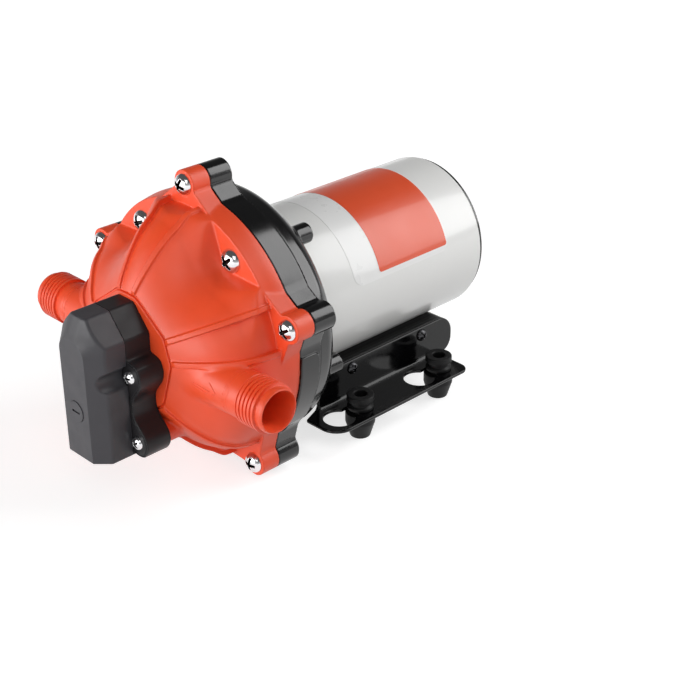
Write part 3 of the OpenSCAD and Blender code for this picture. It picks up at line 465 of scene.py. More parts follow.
FAIRING_LAP = 0.05
FAIRING_SLOPE = 0.98
FAIRING_FILLET = 1.6
BOSS_R = 4.8
BOSS_FILLET = 1.5


def dome(x, y, z):
    """The dome: ten flat sides at the border that swell to a round rim at the flange."""
    t = (x - BORDER_X) / DOME_H
    left = 1 - np.clip(t, 0, 1)
    reach = DOME_END - DOME_START
    steep = reach * DOME_POWER * left ** (DOME_POWER - 1)
    swell = reach * (1 - left ** DOME_POWER) + steep * np.minimum(t, 0)
    swell = swell + (FLANGE_R - DOME_END) * ramp(x, *RIM_SPAN)
    share = 1 - left * left
    plan = border_outline(y, z) * (1 - share) + (np.hypot(y, z - AXIS_Z) - DOME_START) * share
    return (plan - swell) / np.sqrt(1 + (steep / DOME_H) ** 2)


def fairing_radius(s):
    """Radius of a port's fairing at a distance from the pump's middle."""
    taper = np.clip((s - FAIRING_ROOT) / (PORT_COLLAR - FAIRING_ROOT), 0, 1)
    return FAIRING_R + (COLLAR_R + FAIRING_LAP - FAIRING_R) * taper


def fairing_rise(s):
    """How far the fairing's middle lies above the port's."""
    return FAIRING_RISE * (1 - ramp(s, FAIRING_ROOT, PORT_COLLAR))


def fairing(x, y, z):
    """The round fairing of both ports, from the dome to the first collar."""
    s = np.abs(y)
    r = np.hypot(x - PORT_X, z - PORT_Z - fairing_rise(s))
    return all_of((r - fairing_radius(s)) * FAIRING_SLOPE, between(s, FAIRING_START, PORT_COLLAR))


# Corners of the buttress between a port and the flange, as x, distance from the middle and height
BUTTRESS_HIGH = np.array([FLANGE_X, 56.6, 7.7])
BUTTRESS_LOW = np.array([FLANGE_X, 54.5, -4.4])
BUTTRESS_PORT = np.array([PORT_X + 1.5, 53.5, 5.6])
BUTTRESS_RIDGE = BUTTRESS_PORT - BUTTRESS_HIGH
BUTTRESS_FACE = np.cross(BUTTRESS_LOW - BUTTRESS_HIGH, BUTTRESS_RIDGE)
BUTTRESS_FACE = BUTTRESS_FACE / np.linalg.norm(BUTTRESS_FACE)
BUTTRESS_TOP = np.array([0, 0, 1]) - BUTTRESS_RIDGE * BUTTRESS_RIDGE[2] / (BUTTRESS_RIDGE @ BUTTRESS_RIDGE)
BUTTRESS_TOP = BUTTRESS_TOP / np.linalg.norm(BUTTRESS_TOP)
BUTTRESS_SPAN = (-9, 12)
BUTTRESS_INNER = 30
BUTTRESS_SINK = 0.1
BUTTRESS_FILLET = 0.8


def plane(x, s, v, point, normal):
    """Distance from the plane through a point, along its normal."""
    return (x - point[0]) * normal[0] + (s - point[1]) * normal[1] + (v - point[2]) * normal[2]


def buttress(x, y, z):
    """The triangular face that runs from a port's collar back to the flange."""
    s = np.abs(y)
    v = z - AXIS_Z
    face = plane(x, s, v, BUTTRESS_HIGH, BUTTRESS_FACE)
    top = plane(x, s, v, BUTTRESS_HIGH, BUTTRESS_TOP)
    return all_of(meet(face, top, BOSS_EDGE), between(v, *BUTTRESS_SPAN), between(x, PORT_X, CLAMP_X),
        np.hypot(y, v) - FLANGE_R + BUTTRESS_SINK, BUTTRESS_INNER - s)


def pocket(x, y, z, angle):
    """The hollow round an inner screw: a flat floor and a leaning wall, round behind the screw."""
    a = math.radians(angle)
    v = z - AXIS_Z
    out = y * math.cos(a) + v * math.sin(a) - POCKET_TIP[0]
    side = v * math.cos(a) - y * math.sin(a)
    inward = -out * math.cos(POCKET_FLANK)
    one = inward + (side - POCKET_TIP[1]) * math.sin(POCKET_FLANK)
    other = inward - (side + POCKET_TIP[1]) * math.sin(POCKET_FLANK)
    height = POCKET_X - x
    wall = meet(one, other, POCKET_ROUND) * math.cos(POCKET_LEAN) - height * math.sin(POCKET_LEAN)
    return soft_max(wall, -height, POCKET_SOFT)


# Space inside the head
PLATE_R = 39
CHAMBER_R = 36
CHAMBER_DEPTH = 18
CHAMBER_TAPER = 8 / CHAMBER_DEPTH
CHAMBER_SLOPE = 0.91
CORE_R = 18
CORE_DEPTH = 22
CORE_WALL_R = 20.5
OUTLET_WALL = 2.5
OUTLET_WALL_END = 42


def head_hollows(x, y, z):
    """The recess for the valve plate, the chambers in front of it, the port bores and the screw holes."""
    v = z - AXIS_Z
    r = np.hypot(y, v)
    taper = r - CHAMBER_R - (x - SHOULDER_X) * CHAMBER_TAPER
    chamber = all_of(taper * CHAMBER_SLOPE, between(x, SHOULDER_X - CHAMBER_DEPTH, SHOULDER_X + PAST))
    port = np.hypot(x - PORT_X, z - PORT_Z)
    outlet = all_of(port - PORT_BORE - OUTLET_WALL, between(y, -OUTLET_WALL_END, 0))
    bores = any_of(between(y, -PORT_END - PAST, 0), between(y, CORE_WALL_R, PORT_END + PAST))
    return any_of(
        rod(y, v, x, PLATE_R, SHOULDER_X, CLAMP_X + 2 * PAST),
        all_of(chamber, -any_of(r - CORE_WALL_R, outlet)),
        rod(y, v, x, CORE_R, SHOULDER_X - CORE_DEPTH, SHOULDER_X + PAST),
        all_of(port - PORT_BORE, bores),
        lug_rods(y, z, LUG_HOLE_R),
        inner_holes(y, z, INNER_HOLE_R),
    )


def spines(x, y, z, shell):
    """The dome with its five spines: a lowered band between two radial ribs."""
    out, side = folded(y, z, FIRST_LUG)
    across = side * math.cos(RIB_ANGLE) - out * math.sin(RIB_ANGLE)
    drop = BAND_DROP * ramp(x, BORDER_X, BAND_END)
    band = all_of(across, -shell - drop)
    rib = meet(np.abs(across) - RIB_HALF, shell - RIB_H, MOULD_EDGE)
    rib = all_of(rib, BORDER_X - x, RIB_START - out)
    return join(cut(shell, band, FINE_EDGE), rib, LUG_EDGE)


def head_field(x, y, z):
    """The orange head, as far as the collars of its ports."""
    v = z - AXIS_Z
    shell = dome(x, y, z)
    crest = CREST_SOFT + CREST_GROWTH * ramp(POCKET_X - x, *CREST_SPAN)
    for a in INNER_SCREWS:
        shell = soft_max(shell, -pocket(x, y, z, a), crest)
    shell = spines(x, y, z, shell)
    outline = border_outline(y, z)
    groove = all_of(np.abs(outline + GROOVE_HALF) - GROOVE_HALF, x - BORDER_X - GROOVE_DEPTH)
    shell = cut(all_of(shell, BORDER_X - x), groove, GROOVE_EDGE)
    shell = join(shell, fairing(x, y, z), FAIRING_FILLET)
    shell = join(shell, buttress(x, y, z), BUTTRESS_FILLET)
    for sign in (-1, 1):
        by, bz = y - sign * SWITCH_LOWER[0], v - SWITCH_LOWER[1]
        shell = join(shell, rod(by, bz, x, BOSS_R, BORDER_X, BAND_END, BOSS_EDGE), BOSS_FILLET)
    lugs = meet(lug_outline(y, z), between(x, LUG_X, CLAMP_X), LUG_EDGE)
    shell = join(shell, lugs, LUG_EDGE)
    seats = all_of(lug_rods(y, z, LUG_SEAT_R), x - LUG_X)
    shell = cut(shell, seats, FINE_EDGE)
    shell = meet(shell, x - CLAMP_X, MOULD_EDGE)
    shell = all_of(shell, BORDER_X - x)
    return all_of(shell, -head_hollows(x, y, z))


# Black drive housing between the head and the seam
HOUSING_X = CLAMP_X + 0.1
HOUSING_FILLET = 0.8
PAD_MIDDLE = 15.5
PAD_HALF = 18
PAD_FRONT = CLAMP_X - 9
PAD_REAR = SEAM_X - 1.4
PAD_CORNER = 3
PAD_RISE = 1
PAD_ROOT_R = 50
CRANK_WALL = 3
PISTON_PITCH = 24
PISTON_HOLE_R = 10.6
LUG_THREAD_R = 2.6
LUG_THREAD_END = SEAM_X - 2


def band_field(x, y, z):
    """The black band with its five lugs and a pad on each side."""
    v = z - AXIS_Z
    r = np.hypot(y, v)
    body = join(r - FLANGE_R, lug_outline(y, z), HOUSING_FILLET)
    body = meet(body, between(x, HOUSING_X, SEAM_X), LUG_EDGE)
    turn = np.degrees(np.arctan2(-v, np.abs(y)))
    flat = (np.abs(turn - PAD_MIDDLE) - PAD_HALF) * math.radians(FLANGE_R)
    pad = all_of(meet(flat, between(x, PAD_FRONT, PAD_REAR), PAD_CORNER), HOUSING_X - x)
    pad = meet(pad, between(r, PAD_ROOT_R, FLANGE_R + PAD_RISE), ROUND_EDGE)
    body = join(body, pad, MOULD_EDGE)
    lobe, side = folded(y, z, FIRST_LOBE)
    hollow = any_of(
        rod(y, v, x, CRANK_R, CLAMP_X + CRANK_WALL, SEAM_X + 2 * PAST),
        np.hypot(lobe - PISTON_PITCH, side) - PISTON_HOLE_R,
        all_of(lug_rods(y, z, LUG_THREAD_R), x - LUG_THREAD_END),
        inner_holes(y, z, INNER_HOLE_R),
    )
    return all_of(body, -hollow)


# Bell between the seam and the motor can
BELL_INSET = 0.6
BELL_DRAFT = 0.123
BELL_EDGE = 8
BELL_GAP = 0.15
BELL_WALL = 4
POST_R = 4.4
POST_END = BELL_X + 6.5
POST_FILLET = 1.0
SPIGOT_R = CAN_R - 1.6
SPIGOT_END = BELL_X + 4
SHAFT_HOLE_R = 9
BEARING_R = 11.05
BEARING_DEPTH = 6
BOLT_DEPTH = 3


def bell_field(x, y, z):
    """The black bell with its five posts and the spigot that holds the can."""
    v = z - AXIS_Z
    r = np.hypot(y, v)
    side = r - (FLANGE_R - BELL_INSET) + BELL_DRAFT * (x - SEAM_X)
    body = meet(side, x - BELL_X, BELL_EDGE)
    body = meet(body, SEAM_X + BELL_GAP - x, ROUND_EDGE)
    lobe, across = folded(y, z, FIRST_LOBE)
    post = np.hypot(lobe - INNER_PITCH, across) - POST_R
    post = meet(post, between(x, BELL_X - BELL_EDGE, POST_END), ROUND_EDGE)
    body = join(body, post, POST_FILLET)
    body = any_of(body, rod(y, v, x, SPIGOT_R, BELL_X - PAST, SPIGOT_END, ROUND_EDGE))
    bolt = np.hypot(y, np.abs(v) - BOLT_PITCH) - THREAD_HOLE_R
    hollow = any_of(
        rod(y, v, x, CRANK_R, SEAM_X - 2 * PAST, BELL_X - BELL_WALL),
        r - SHAFT_HOLE_R,
        rod(y, v, x, BEARING_R, BELL_X - BEARING_DEPTH, BELL_X + 2 * PAST),
        all_of(inner_holes(y, z, THREAD_HOLE_R), x - BELL_X - PAST),
        all_of(bolt, BELL_X - BOLT_DEPTH - x),
    )
    return all_of(body, -hollow)


# Pressure switch
SWITCH_HALF = 14
SWITCH_TOP = 24
SWITCH_BOTTOM = -38.5
SWITCH_EDGE = 1.0
CROWN_HALF = 5
CROWN_CUT = 10.5
CROWN_EDGE = 0.6
PANEL_HALF = 8
PANEL_TOP = 15
PANEL_ARCH = 6.5
PANEL_FALL = 0.5
FRONT_SLOPE = 0.75
FRONT_EDGE = 0.7
COVER_GAP = 0.05
COVER_SEAM_EDGE = 0.12
NOTCH_R = 4.7
NOTCH_WALL = 2
CROWN_SIDE = np.array([SWITCH_HALF - CROWN_HALF, -CROWN_CUT])
CROWN_NORMAL = np.array([-CROWN_SIDE[1], CROWN_SIDE[0]]) / np.linalg.norm(CROWN_SIDE)

# Space inside the cover: its outside drawn smaller about a height, and what the plug and the spring need
COVER_WALL = 2.2
COVER_SHRINK = (1.18, 1.07)
COVER_MIDDLE = -4
COVER_INSET = 0.4
PLUG_HOLE_R = 4.55
PLUG_BOSS_R = 8.5
PLUG_BOSS_END = BASE_X - 8
SPRING_SPACE_R = 6.05
SPRING_SPACE_X = BASE_X - 11

EAR_R = 6.2
EAR_SWEEP = 8
EAR_WAIST = 15.4
EAR_FILLET = 2.0
BASE_EDGE = 0.06
WELL_INSET = 0.9
WELL_HALF = 0.35
WELL_DEPTH = 0.35
WELL_FROM = 0.5
WELL_EDGE = 0.1
MEMBRANE_R = 9.15
MEMBRANE_X = BASE_X + 2.1
PLUNGER_SPACE_R = 7.5
SLOT_HALF = 5.5
SLOT_TOP = SWITCH_TOP - 6
SLOT_END = BORDER_X - 2


def switch_outline(y, v):
    """The switch seen along the pump, with its crown cut on both sides."""
    half = np.abs(y)
    body = meet(half - SWITCH_HALF, between(v, SWITCH_BOTTOM, SWITCH_TOP), SWITCH_EDGE)
    crown = (half - CROWN_HALF) * CROWN_NORMAL[0] + (v - SWITCH_TOP) * CROWN_NORMAL[1]
    return meet(body, crown, CROWN_EDGE)


def cover_outer(x, y, z):
    """The cover's outside: a flat panel whose sides and top fall away."""
    v = z - AXIS_Z
    half = np.abs(y)
    wide = np.maximum(half - PANEL_HALF + PANEL_ARCH, 0)
    high = np.maximum(v - PANEL_TOP + PANEL_ARCH, 0)
    share = high * high / (wide * wide + high * high + 1e-3)
    beyond = np.maximum(meet(half - PANEL_HALF, v - PANEL_TOP, PANEL_ARCH), 0)
    front = (COVER_X + beyond * (1 - PANEL_FALL * share) - x) * FRONT_SLOPE
    body = meet(switch_outline(y, v), front, FRONT_EDGE)
    return meet(body, x - BASE_X + COVER_GAP, COVER_SEAM_EDGE)


def cover_field(x, y, z):
    """The cover with its screw notches and its hollow."""
    v = z - AXIS_Z
    body = cover_outer(x, y, z)
    notch = np.hypot(np.abs(y) - SWITCH_UPPER[0], v - SWITCH_UPPER[1]) - NOTCH_R
    body = cut(body, notch, ROUND_EDGE)
    plug = np.hypot(y, v + PLUNGER_DROP)
    inner_z = AXIS_Z + (v - COVER_MIDDLE) * COVER_SHRINK[1] + COVER_MIDDLE
    inner = cover_outer(x - COVER_WALL, y * COVER_SHRINK[0], inner_z) + COVER_INSET
    solid = any_of(notch - NOTCH_WALL, all_of(plug - PLUG_BOSS_R, x - PLUG_BOSS_END))
    inner = all_of(inner, -solid)
    spring = all_of(plug - SPRING_SPACE_R, SPRING_SPACE_X - x)
    hollow = any_of(all_of(inner, x - BASE_X - PAST), plug - PLUG_HOLE_R, spring)
    return all_of(body, -hollow)


def base_field(x, y, z):
    """The switch's base with four ears, a fine line round them and the space for the plunger."""
    v = z - AXIS_Z
    half = np.abs(y)
    plan = switch_outline(y, v)
    upper = np.hypot(half - SWITCH_UPPER[0], v - SWITCH_UPPER[1]) - EAR_R
    lower = np.hypot(half - SWITCH_LOWER[0], v - SWITCH_LOWER[1]) - EAR_R
    strip = all_of(half - EAR_WAIST, between(v, SWITCH_LOWER[1], SWITCH_UPPER[1]))
    ears = join(join(strip, upper, EAR_SWEEP), lower, EAR_SWEEP)
    ears = join(plan, ears, EAR_FILLET)
    body = meet(plan, between(x, BASE_X, BORDER_X), BASE_EDGE)
    body = any_of(body, meet(ears, between(x, BASE_X, BORDER_X), BOSS_EDGE))
    well = all_of(np.abs(ears + WELL_INSET) - WELL_HALF, x - BASE_X - WELL_DEPTH, WELL_FROM - plan)
    body = cut(body, well, WELL_EDGE)
    plug = np.hypot(y, v + PLUNGER_DROP)
    slot_space = all_of(half - SLOT_HALF, between(v, -PLUNGER_DROP, SLOT_TOP), x - SLOT_END)
    hollow = any_of(all_of(plug - MEMBRANE_R, MEMBRANE_X - x), plug - PLUNGER_SPACE_R, slot_space)
    return all_of(body, -hollow)


# Sheet rails, saddle and feet
SHEET_T = 1.6
SHEET_EDGE = 0.6
SHEET_FILLET = 0.8
RAIL_Z = 12.2
RAIL_TOP = 30.7
RAIL_Y = 51
RAIL_FRONT = -50
RAIL_REAR = 36.5
RAIL_FRONT_CORNER = 9
RAIL_REAR_CORNER = 5
RAIL_SLANT = 0.4
RAIL_BEND = 2.0
WEB_Y = 30
WEB_FRONT = -40.5
WEB_REAR = 46.5
WEB_TOP_CORNER = 9
WEB_LOW_CORNER = 7
WEB_FRONT_CORNER = 4
WEB_LOW_EDGE = 1.2
FOOT_X = 25.5
FOOT_Y = 41
FOOT_TRAVEL = 13
FOOT_GAP = 0.05
FOOT_NECK_R = 4.1
KEY_SEAT_R = FOOT_NECK_R + FOOT_GAP
KEY_WIDE_R = 7
RAIL_SCREWS = (-19.5, 25.5)
RAIL_SCREW_Z = 26.9
RAIL_HOLE_R = 1.85
SADDLE_GAP = 0.05
SADDLE_EDGE = 0.4
STRIP_Y = 22
LEG_Y = WEB_Y - SHEET_T
LEG_H = 9


def web_end(x, z):
    """The round rear end that the webs and the saddle share."""
    upper = meet(z - RAIL_TOP, x - WEB_REAR, WEB_TOP_CORNER)
    return all_of(upper, meet(x - WEB_REAR, RAIL_Z - z, WEB_LOW_CORNER))


def cut_rail_holes(body, x, z):
    """A sheet without the holes of the rail screws."""
    for place in RAIL_SCREWS:
        body = cut(body, np.hypot(x - place, z - RAIL_SCREW_Z) - RAIL_HOLE_R)
    return body


def saddle_field(x, y, z):
    """The sheet cradle under the can, with a strip and a leg on each side."""
    v = z - AXIS_Z
    half = np.abs(y)
    ring = between(np.hypot(y, v), CAN_R + SADDLE_GAP, CAN_R + SADDLE_GAP + SHEET_T)
    cradle = all_of(ring, z - RAIL_TOP)
    strip = all_of(between(z, RAIL_TOP - SHEET_T, RAIL_TOP), between(half, STRIP_Y, LEG_Y))
    leg = all_of(between(half, LEG_Y - SHEET_T, LEG_Y), between(z, RAIL_TOP - LEG_H, RAIL_TOP))
    body = join(join(cradle, strip, SHEET_EDGE), leg, SHEET_FILLET)
    body = meet(body, all_of(web_end(x, z), WEB_FRONT - x), SADDLE_EDGE)
    return cut_rail_holes(body, x, z)


def cut_keyholes(plan, x, y):
    """A rail's outline without its two keyhole slots."""
    for sign in (-1, 1):
        seat_x = sign * FOOT_X
        seat = np.hypot(x - seat_x, y + FOOT_Y) - KEY_SEAT_R
        wide = np.hypot(x - seat_x + FOOT_TRAVEL, y + FOOT_Y) - KEY_WIDE_R
        lane = all_of(np.abs(y + FOOT_Y) - KEY_SEAT_R, between(x, seat_x - FOOT_TRAVEL, seat_x))
        plan = all_of(plan, -any_of(seat, wide, lane))
    return plan


def rail_field(x, y, z):
    """The near side rail; the far one is its mirror image."""
    plan = meet(-RAIL_Y - y, RAIL_FRONT - x, RAIL_FRONT_CORNER)
    plan = meet(plan, x - RAIL_REAR, RAIL_REAR_CORNER)
    plan = meet(plan, y + LEG_Y + RAIL_SLANT * np.maximum(WEB_FRONT - x, 0), SHEET_FILLET)
    plan = cut_keyholes(plan, x, y)
    flange = meet(plan, between(z, RAIL_Z, RAIL_Z + SHEET_T), SHEET_EDGE)
    web = meet(web_end(x, z), WEB_FRONT - x, WEB_FRONT_CORNER)
    web = cut_rail_holes(meet(web, RAIL_Z - z, WEB_LOW_EDGE), x, z)
    web = meet(web, between(y, -WEB_Y, -LEG_Y), SHEET_EDGE)
    return join(flange, web, RAIL_BEND)


# Pan head screws with a cross recess, drawn along +x from a seat at zero; shares are of the head's size
HEAD_SHARE = 0.62
HEAD_ROUND = 0.28
HEAD_EDGE = 0.12
CROSS_HALF = 0.15
CROSS_REACH = 0.64
CROSS_FLOOR = 0.42
CROSS_TAPER = 0.35
CROSS_ARM_TAPER = 0.3
CROSS_EDGE = 0.06
RECESS_REACH = 0.66
RECESS_FLOOR = 0.3
RECESS_SPAN = (0.08, 0.4)
SHANK_LAP = 0.3
SHANK_LEN = 1.5
SHANK_SPACE = 2.2
SCREW_MARGIN = 0.4
SCREW_CELL = 0.04
SCREW_REACH = 0.01
SCREW_TRIANGLES = 9000


def screw_head(head_r):
    """Height of a screw's head and radius of its crown."""
    head_h = head_r * HEAD_SHARE
    return head_h, (head_r * head_r + head_h * head_h) / (2 * head_h)


def screw_field(head_r, shank_r):
    """The field of one screw: a round head with a cross, and the start of its shank."""
    head_h, ball_r = screw_head(head_r)

    def field(x, y, z):
        r = np.hypot(y, z)
        ball = np.sqrt((x - (ball_r - head_h)) ** 2 + r * r) - ball_r
        head = meet(meet(ball, r - head_r, head_r * HEAD_ROUND), x, HEAD_EDGE)
        taper = (x + head_h) * CROSS_TAPER
        arm = any_of(np.abs(y), np.abs(z)) - head_r * CROSS_HALF + taper * CROSS_ARM_TAPER
        cross = all_of(arm, r - head_r * CROSS_REACH + taper, x + head_h * CROSS_FLOOR)
        shank = all_of(r - shank_r, between(x, -SHANK_LAP, SHANK_LEN))
        return any_of(cut(head, cross, CROSS_EDGE), shank)
    return field


def screw_recess(points, head_r):
    """How deep each point of a screw lies in its cross, from zero to one; the steel is painted darker there
    as shade.
    """
    head_h, ball_r = screw_head(head_r)
    r = np.hypot(points[:, 1], points[:, 2])
    depth = ball_r - np.hypot(points[:, 0] - ball_r + head_h, r)
    inside = (r < head_r * RECESS_REACH) & (points[:, 0] < -head_h * RECESS_FLOOR)
    return np.where(inside, ramp(depth, *RECESS_SPAN), 0).astype(np.float32)


def screw_copies(name, head_r, shank_r, places):
    """One mesh of equal screws, each put in its place by a matrix."""
    head_h, _ = screw_head(head_r)
    wide = head_r + SCREW_MARGIN
    low = (-head_h - SCREW_MARGIN, -wide, -wide)
    field = screw_field(head_r, shank_r)
    one = shaped(name, field, low, (SHANK_SPACE, wide, wide), head_r * SCREW_CELL, SCREW_TRIANGLES)
    points = mesh_points(one)
    normals = field_normals(field, points, head_r * SCREW_REACH)
    one.calc_loop_triangles()
    faces = np.empty(len(one.loop_triangles) * 3, np.int32)
    one.loop_triangles.foreach_get("vertices", faces)
    faces = faces.reshape(-1, 3)
    all_points, all_normals, all_faces = [], [], []
    for i, place in enumerate(places):
        m = np.array(place)
        all_points.append(points @ m[:3, :3].T + m[:3, 3] / MM)
        all_normals.append(normals @ m[:3, :3].T)
        all_faces.append(faces + i * len(points))
    mesh = mesh_from(name, np.concatenate(all_points), np.concatenate(all_faces))
    # Depth in the cross, where the steel is painted dark as shade.
    recess = mesh.attributes.new("recess", "FLOAT", "POINT")
    recess.data.foreach_set("value", np.tile(screw_recess(points, head_r), len(places)))
    mesh.normals_split_custom_set_from_vertices(np.concatenate(all_normals).astype(np.float32))
    return mesh


def screw_place(x, y, z, spin, facing=(1, 0, 0)):
    """Matrix for a screw with its seat at a point, its shank along facing and its cross turned by spin."""
    turn = Vector((1, 0, 0)).rotation_difference(Vector(facing)).to_matrix().to_4x4()
    return Matrix.Translation(Vector((x, y, z)) * MM) @ turn @ Matrix.Rotation(math.radians(spin), 4, "X")


def polar_place(x, radius, angle, spin, facing=(1, 0, 0)):
    """The same for a seat at a radius and an angle about the pump axis."""
    a = math.radians(angle)
    return screw_place(x, radius * math.cos(a), AXIS_Z + radius * math.sin(a), spin, facing)


# Materials
NOISE_LOW = 0.3
NOISE_HIGH = 0.7


def linear(r, g, b):
    """A screen colour of 0 to 255 as the linear values that a shader takes."""
    values = [c / 255 for c in (r, g, b)]
    return [c / 12.92 if c <= 0.04045 else ((c + 0.055) / 1.055) ** 2.4 for c in values] + [1]


def map_range(tree, value, start, end):
    """Output of a node that takes a value from one range to another; start and end belong to both."""
    made = tree.nodes.new("ShaderNodeMapRange")
    made.inputs["From Min"].default_value, made.inputs["To Min"].default_value = start
    made.inputs["From Max"].default_value, made.inputs["To Max"].default_value = end
    tree.links.new(value, made.inputs["Value"])
    return made.outputs["Result"]


class Finish:
    """A principled material whose colour, roughness and surface vary with noise in the object's own space."""

    def __init__(self, name, colour, rough, metal=0.0, specular=0.5, coat=0.0):
        self.material = bpy.data.materials.new(name)
        self.material.use_nodes = True
        self.tree = self.material.node_tree
        self.shader = self.tree.nodes["Principled BSDF"]
        self.colour = linear(*colour)
        self.rough = rough
        self.shader.inputs["Base Color"].default_value = self.colour
        self.shader.inputs["Roughness"].default_value = rough
        self.shader.inputs["Metallic"].default_value = metal
        self.shader.inputs["Specular IOR Level"].default_value = specular
        self.shader.inputs["Coat Weight"].default_value = coat
        self.shader.inputs["Coat Roughness"].default_value = 0.06
        self.where = self.node("ShaderNodeTexCoord").outputs["Object"]

    def node(self, kind, **inputs):
        made = self.tree.nodes.new(kind)
        for key, value in inputs.items():
            made.inputs[key].default_value = value
        return made

    def link(self, source, target):
        self.tree.links.new(source, target)

    def noise(self, scale, detail=4.0, stretch=None):
        """Noise with about that many features in a metre, drawn out along an axis by stretch."""
        made = self.node("ShaderNodeTexNoise", Scale=scale, Detail=detail)
        where = self.where
        if stretch:
            place = self.node("ShaderNodeMapping", Scale=stretch)
            self.link(where, place.inputs["Vector"])
            where = place.outputs["Vector"]
        self.link(where, made.inputs["Vector"])
        return made.outputs["Fac"]

    def spread(self, factor, low, high):
        """Noise, spread to run from low to high."""
        return map_range(self.tree, factor, (NOISE_LOW, low), (NOISE_HIGH, high))

    def mix(self, factor, one, two):
        made = self.tree.nodes.new("ShaderNodeMix")
        made.data_type = "RGBA"
        self.link(factor, made.inputs["Factor"])
        for socket, value in ((made.inputs[6], one), (made.inputs[7], two)):
            if isinstance(value, list):
                socket.default_value = value
            else:
                self.link(value, socket)
        return made.outputs[2]

    def tint(self, scale, depth, stretch=None):
        """Lets the colour drift by a share of depth either way."""
        dark = [c * (1 - depth) for c in self.colour[:3]] + [1]
        light = [min(1, c * (1 + depth)) for c in self.colour[:3]] + [1]
        drift = self.mix(self.spread(self.noise(scale, stretch=stretch), 0, 1), dark, light)
        self.link(drift, self.shader.inputs["Base Color"])
        return drift

    def polish(self, scale, depth, stretch=None):
        """Lets the roughness drift by depth either way."""
        factor = self.noise(scale, stretch=stretch)
        result = self.spread(factor, max(0.02, self.rough - depth), self.rough + depth)
        self.link(result, self.shader.inputs["Roughness"])

    def grain(self, scale, strength, height=0.1, stretch=None):
        """A surface texture of that many features in a metre and that height in millimetres."""
        bump = self.node("ShaderNodeBump", Strength=strength, Distance=height * MM)
        self.link(self.noise(scale, 3, stretch), bump.inputs["Height"])
        self.link(bump.outputs["Normal"], self.shader.inputs["Normal"])


def finished(name, colour, rough, tint, polish, grain, **more):
    """A finish with a drift of colour and of roughness and a fine surface texture."""
    made = Finish(name, colour, rough, **more)
    made.tint(*tint)
    made.polish(*polish)
    made.grain(*grain)
    return made


def plain(name, colour, rough, grain, strength, **more):
    """The finish that most pieces share, with a grain of their own."""
    return finished(name, colour, rough, (60, 0.06), (140, rough * 0.18), (grain, strength), **more).material


def orange_plastic():
    made = finished("head_plastic", (240, 78, 35), 0.42, (45, 0.05), (120, 0.04), (1800, 0.05, 0.05),
        specular=0.65)
    made.shader.inputs["Subsurface Weight"].default_value = 0.06
    made.shader.inputs["Subsurface Radius"].default_value = (0.004, 0.0015, 0.0008)
    return made.material


def gloss_black():
    return finished("housing_plastic", (9, 9, 10), 0.15, (90, 0.12), (160, 0.03), (420, 0.02, 0.04),
        specular=0.6).material


def sheet_black():
    return finished("base_paint", (6, 6, 7), 0.13, (120, 0.12), (220, 0.04), (520, 0.06, 0.05),
        specular=0.3).material


def white_paint():
    return finished("can_paint", (232, 232, 230), 0.3, (24, 0.012), (60, 0.02), (900, 0.004, 0.03),
        coat=0.4).material


def bright_steel():
    made = Finish("screw_steel", (226, 226, 228), 0.13, metal=1.0)
    drift = made.tint(700, 0.05)
    recess = made.tree.nodes.new("ShaderNodeAttribute")
    recess.attribute_name = "recess"
    # Painted shade: the steel turns dark grey deep in the cross recess.
    recess_shade = made.mix(recess.outputs["Fac"], drift, linear(38, 36, 35))
    made.link(recess_shade, made.shader.inputs["Base Color"])
    made.polish(900, 0.05)
    made.grain(2600, 0.04, 0.03)
    return made.material


def brushed_steel():
    return finished("bearing_steel", (198, 198, 202), 0.3, (400, 0.06), (300, 0.08, (0.1, 1, 1)),
        (900, 0.08, 0.03, (0.08, 1, 1)), metal=1.0).material


def label_film():
    return finished("label_film", (230, 84, 44), 0.34, (40, 0.03), (90, 0.05), (900, 0.03, 0.03),
        coat=0.25).material


def sticker_film():
    return finished("sticker_film", (238, 238, 237), 0.3, (30, 0.01), (90, 0.05), (700, 0.02, 0.03),
        coat=0.3).material


MATERIALS = {
    "head_plastic": orange_plastic(),
    "housing_plastic": gloss_black(),
    "switch_base_plastic": plain("switch_base_plastic", (36, 35, 37), 0.4, 2200, 0.08, specular=0.25),
    "switch_cover_plastic": plain("switch_cover_plastic", (62, 61, 65), 0.45, 2600, 0.1, specular=0.4),
    "can_paint": white_paint(),
    "label_film": label_film(),
    "base_paint": sheet_black(),
    "foot_rubber": plain("foot_rubber", (13, 13, 14), 0.5, 1600, 0.15, specular=0.25),
    "screw_steel": bright_steel(),
    "rail_screw_steel": plain("rail_screw_steel", (70, 70, 72), 0.25, 1500, 0.08, metal=1.0),
    "bearing_steel": brushed_steel(),
    "seal_rubber": plain("seal_rubber", (36, 36, 37), 0.7, 1500, 0.15),
    "inner_plastic": plain("inner_plastic", (216, 214, 206), 0.45, 1500, 0.08),
    "core_steel": plain("core_steel", (120, 120, 124), 0.42, 900, 0.15, metal=1.0),
    "copper": plain("copper", (196, 112, 66), 0.3, 1400, 0.12, metal=1.0),
    "ferrite": plain("ferrite", (58, 58, 61), 0.75, 1300, 0.25),
    "carbon": plain("carbon", (42, 42, 42), 0.6, 1500, 0.2),
    "bronze": plain("bronze", (186, 148, 84), 0.32, 1100, 0.12, metal=1.0),
}
STICKER = sticker_film()


# Pieces; edges are sharp where faces turn by more than the crease
CREASE = 40
CAN_CREASE = 32


def along_pump(points):
    """Points drawn about z, laid along the pump axis."""
    return np.stack([points[:, 2], points[:, 0], points[:, 1] + AXIS_Z], 1)


def creased(mesh, degrees=CREASE):
    """The mesh with its edges sharp where its faces turn by more than that."""
    mesh.set_sharp_from_angle(angle=math.radians(degrees))
    return mesh


def shaped_piece(node, field, box, cell, slot, most=MOST_TRIANGLES):
    """A piece of the pump's body that a field gives and that stands for a node."""
    mesh = shaped(node, field, box[0], box[1], cell, most)
    put("form_" + node, mesh, "pump", slot, node)


# Fine lines on a port's collar
LINE_DEPTH = 0.12
LINE_HALF = 0.2

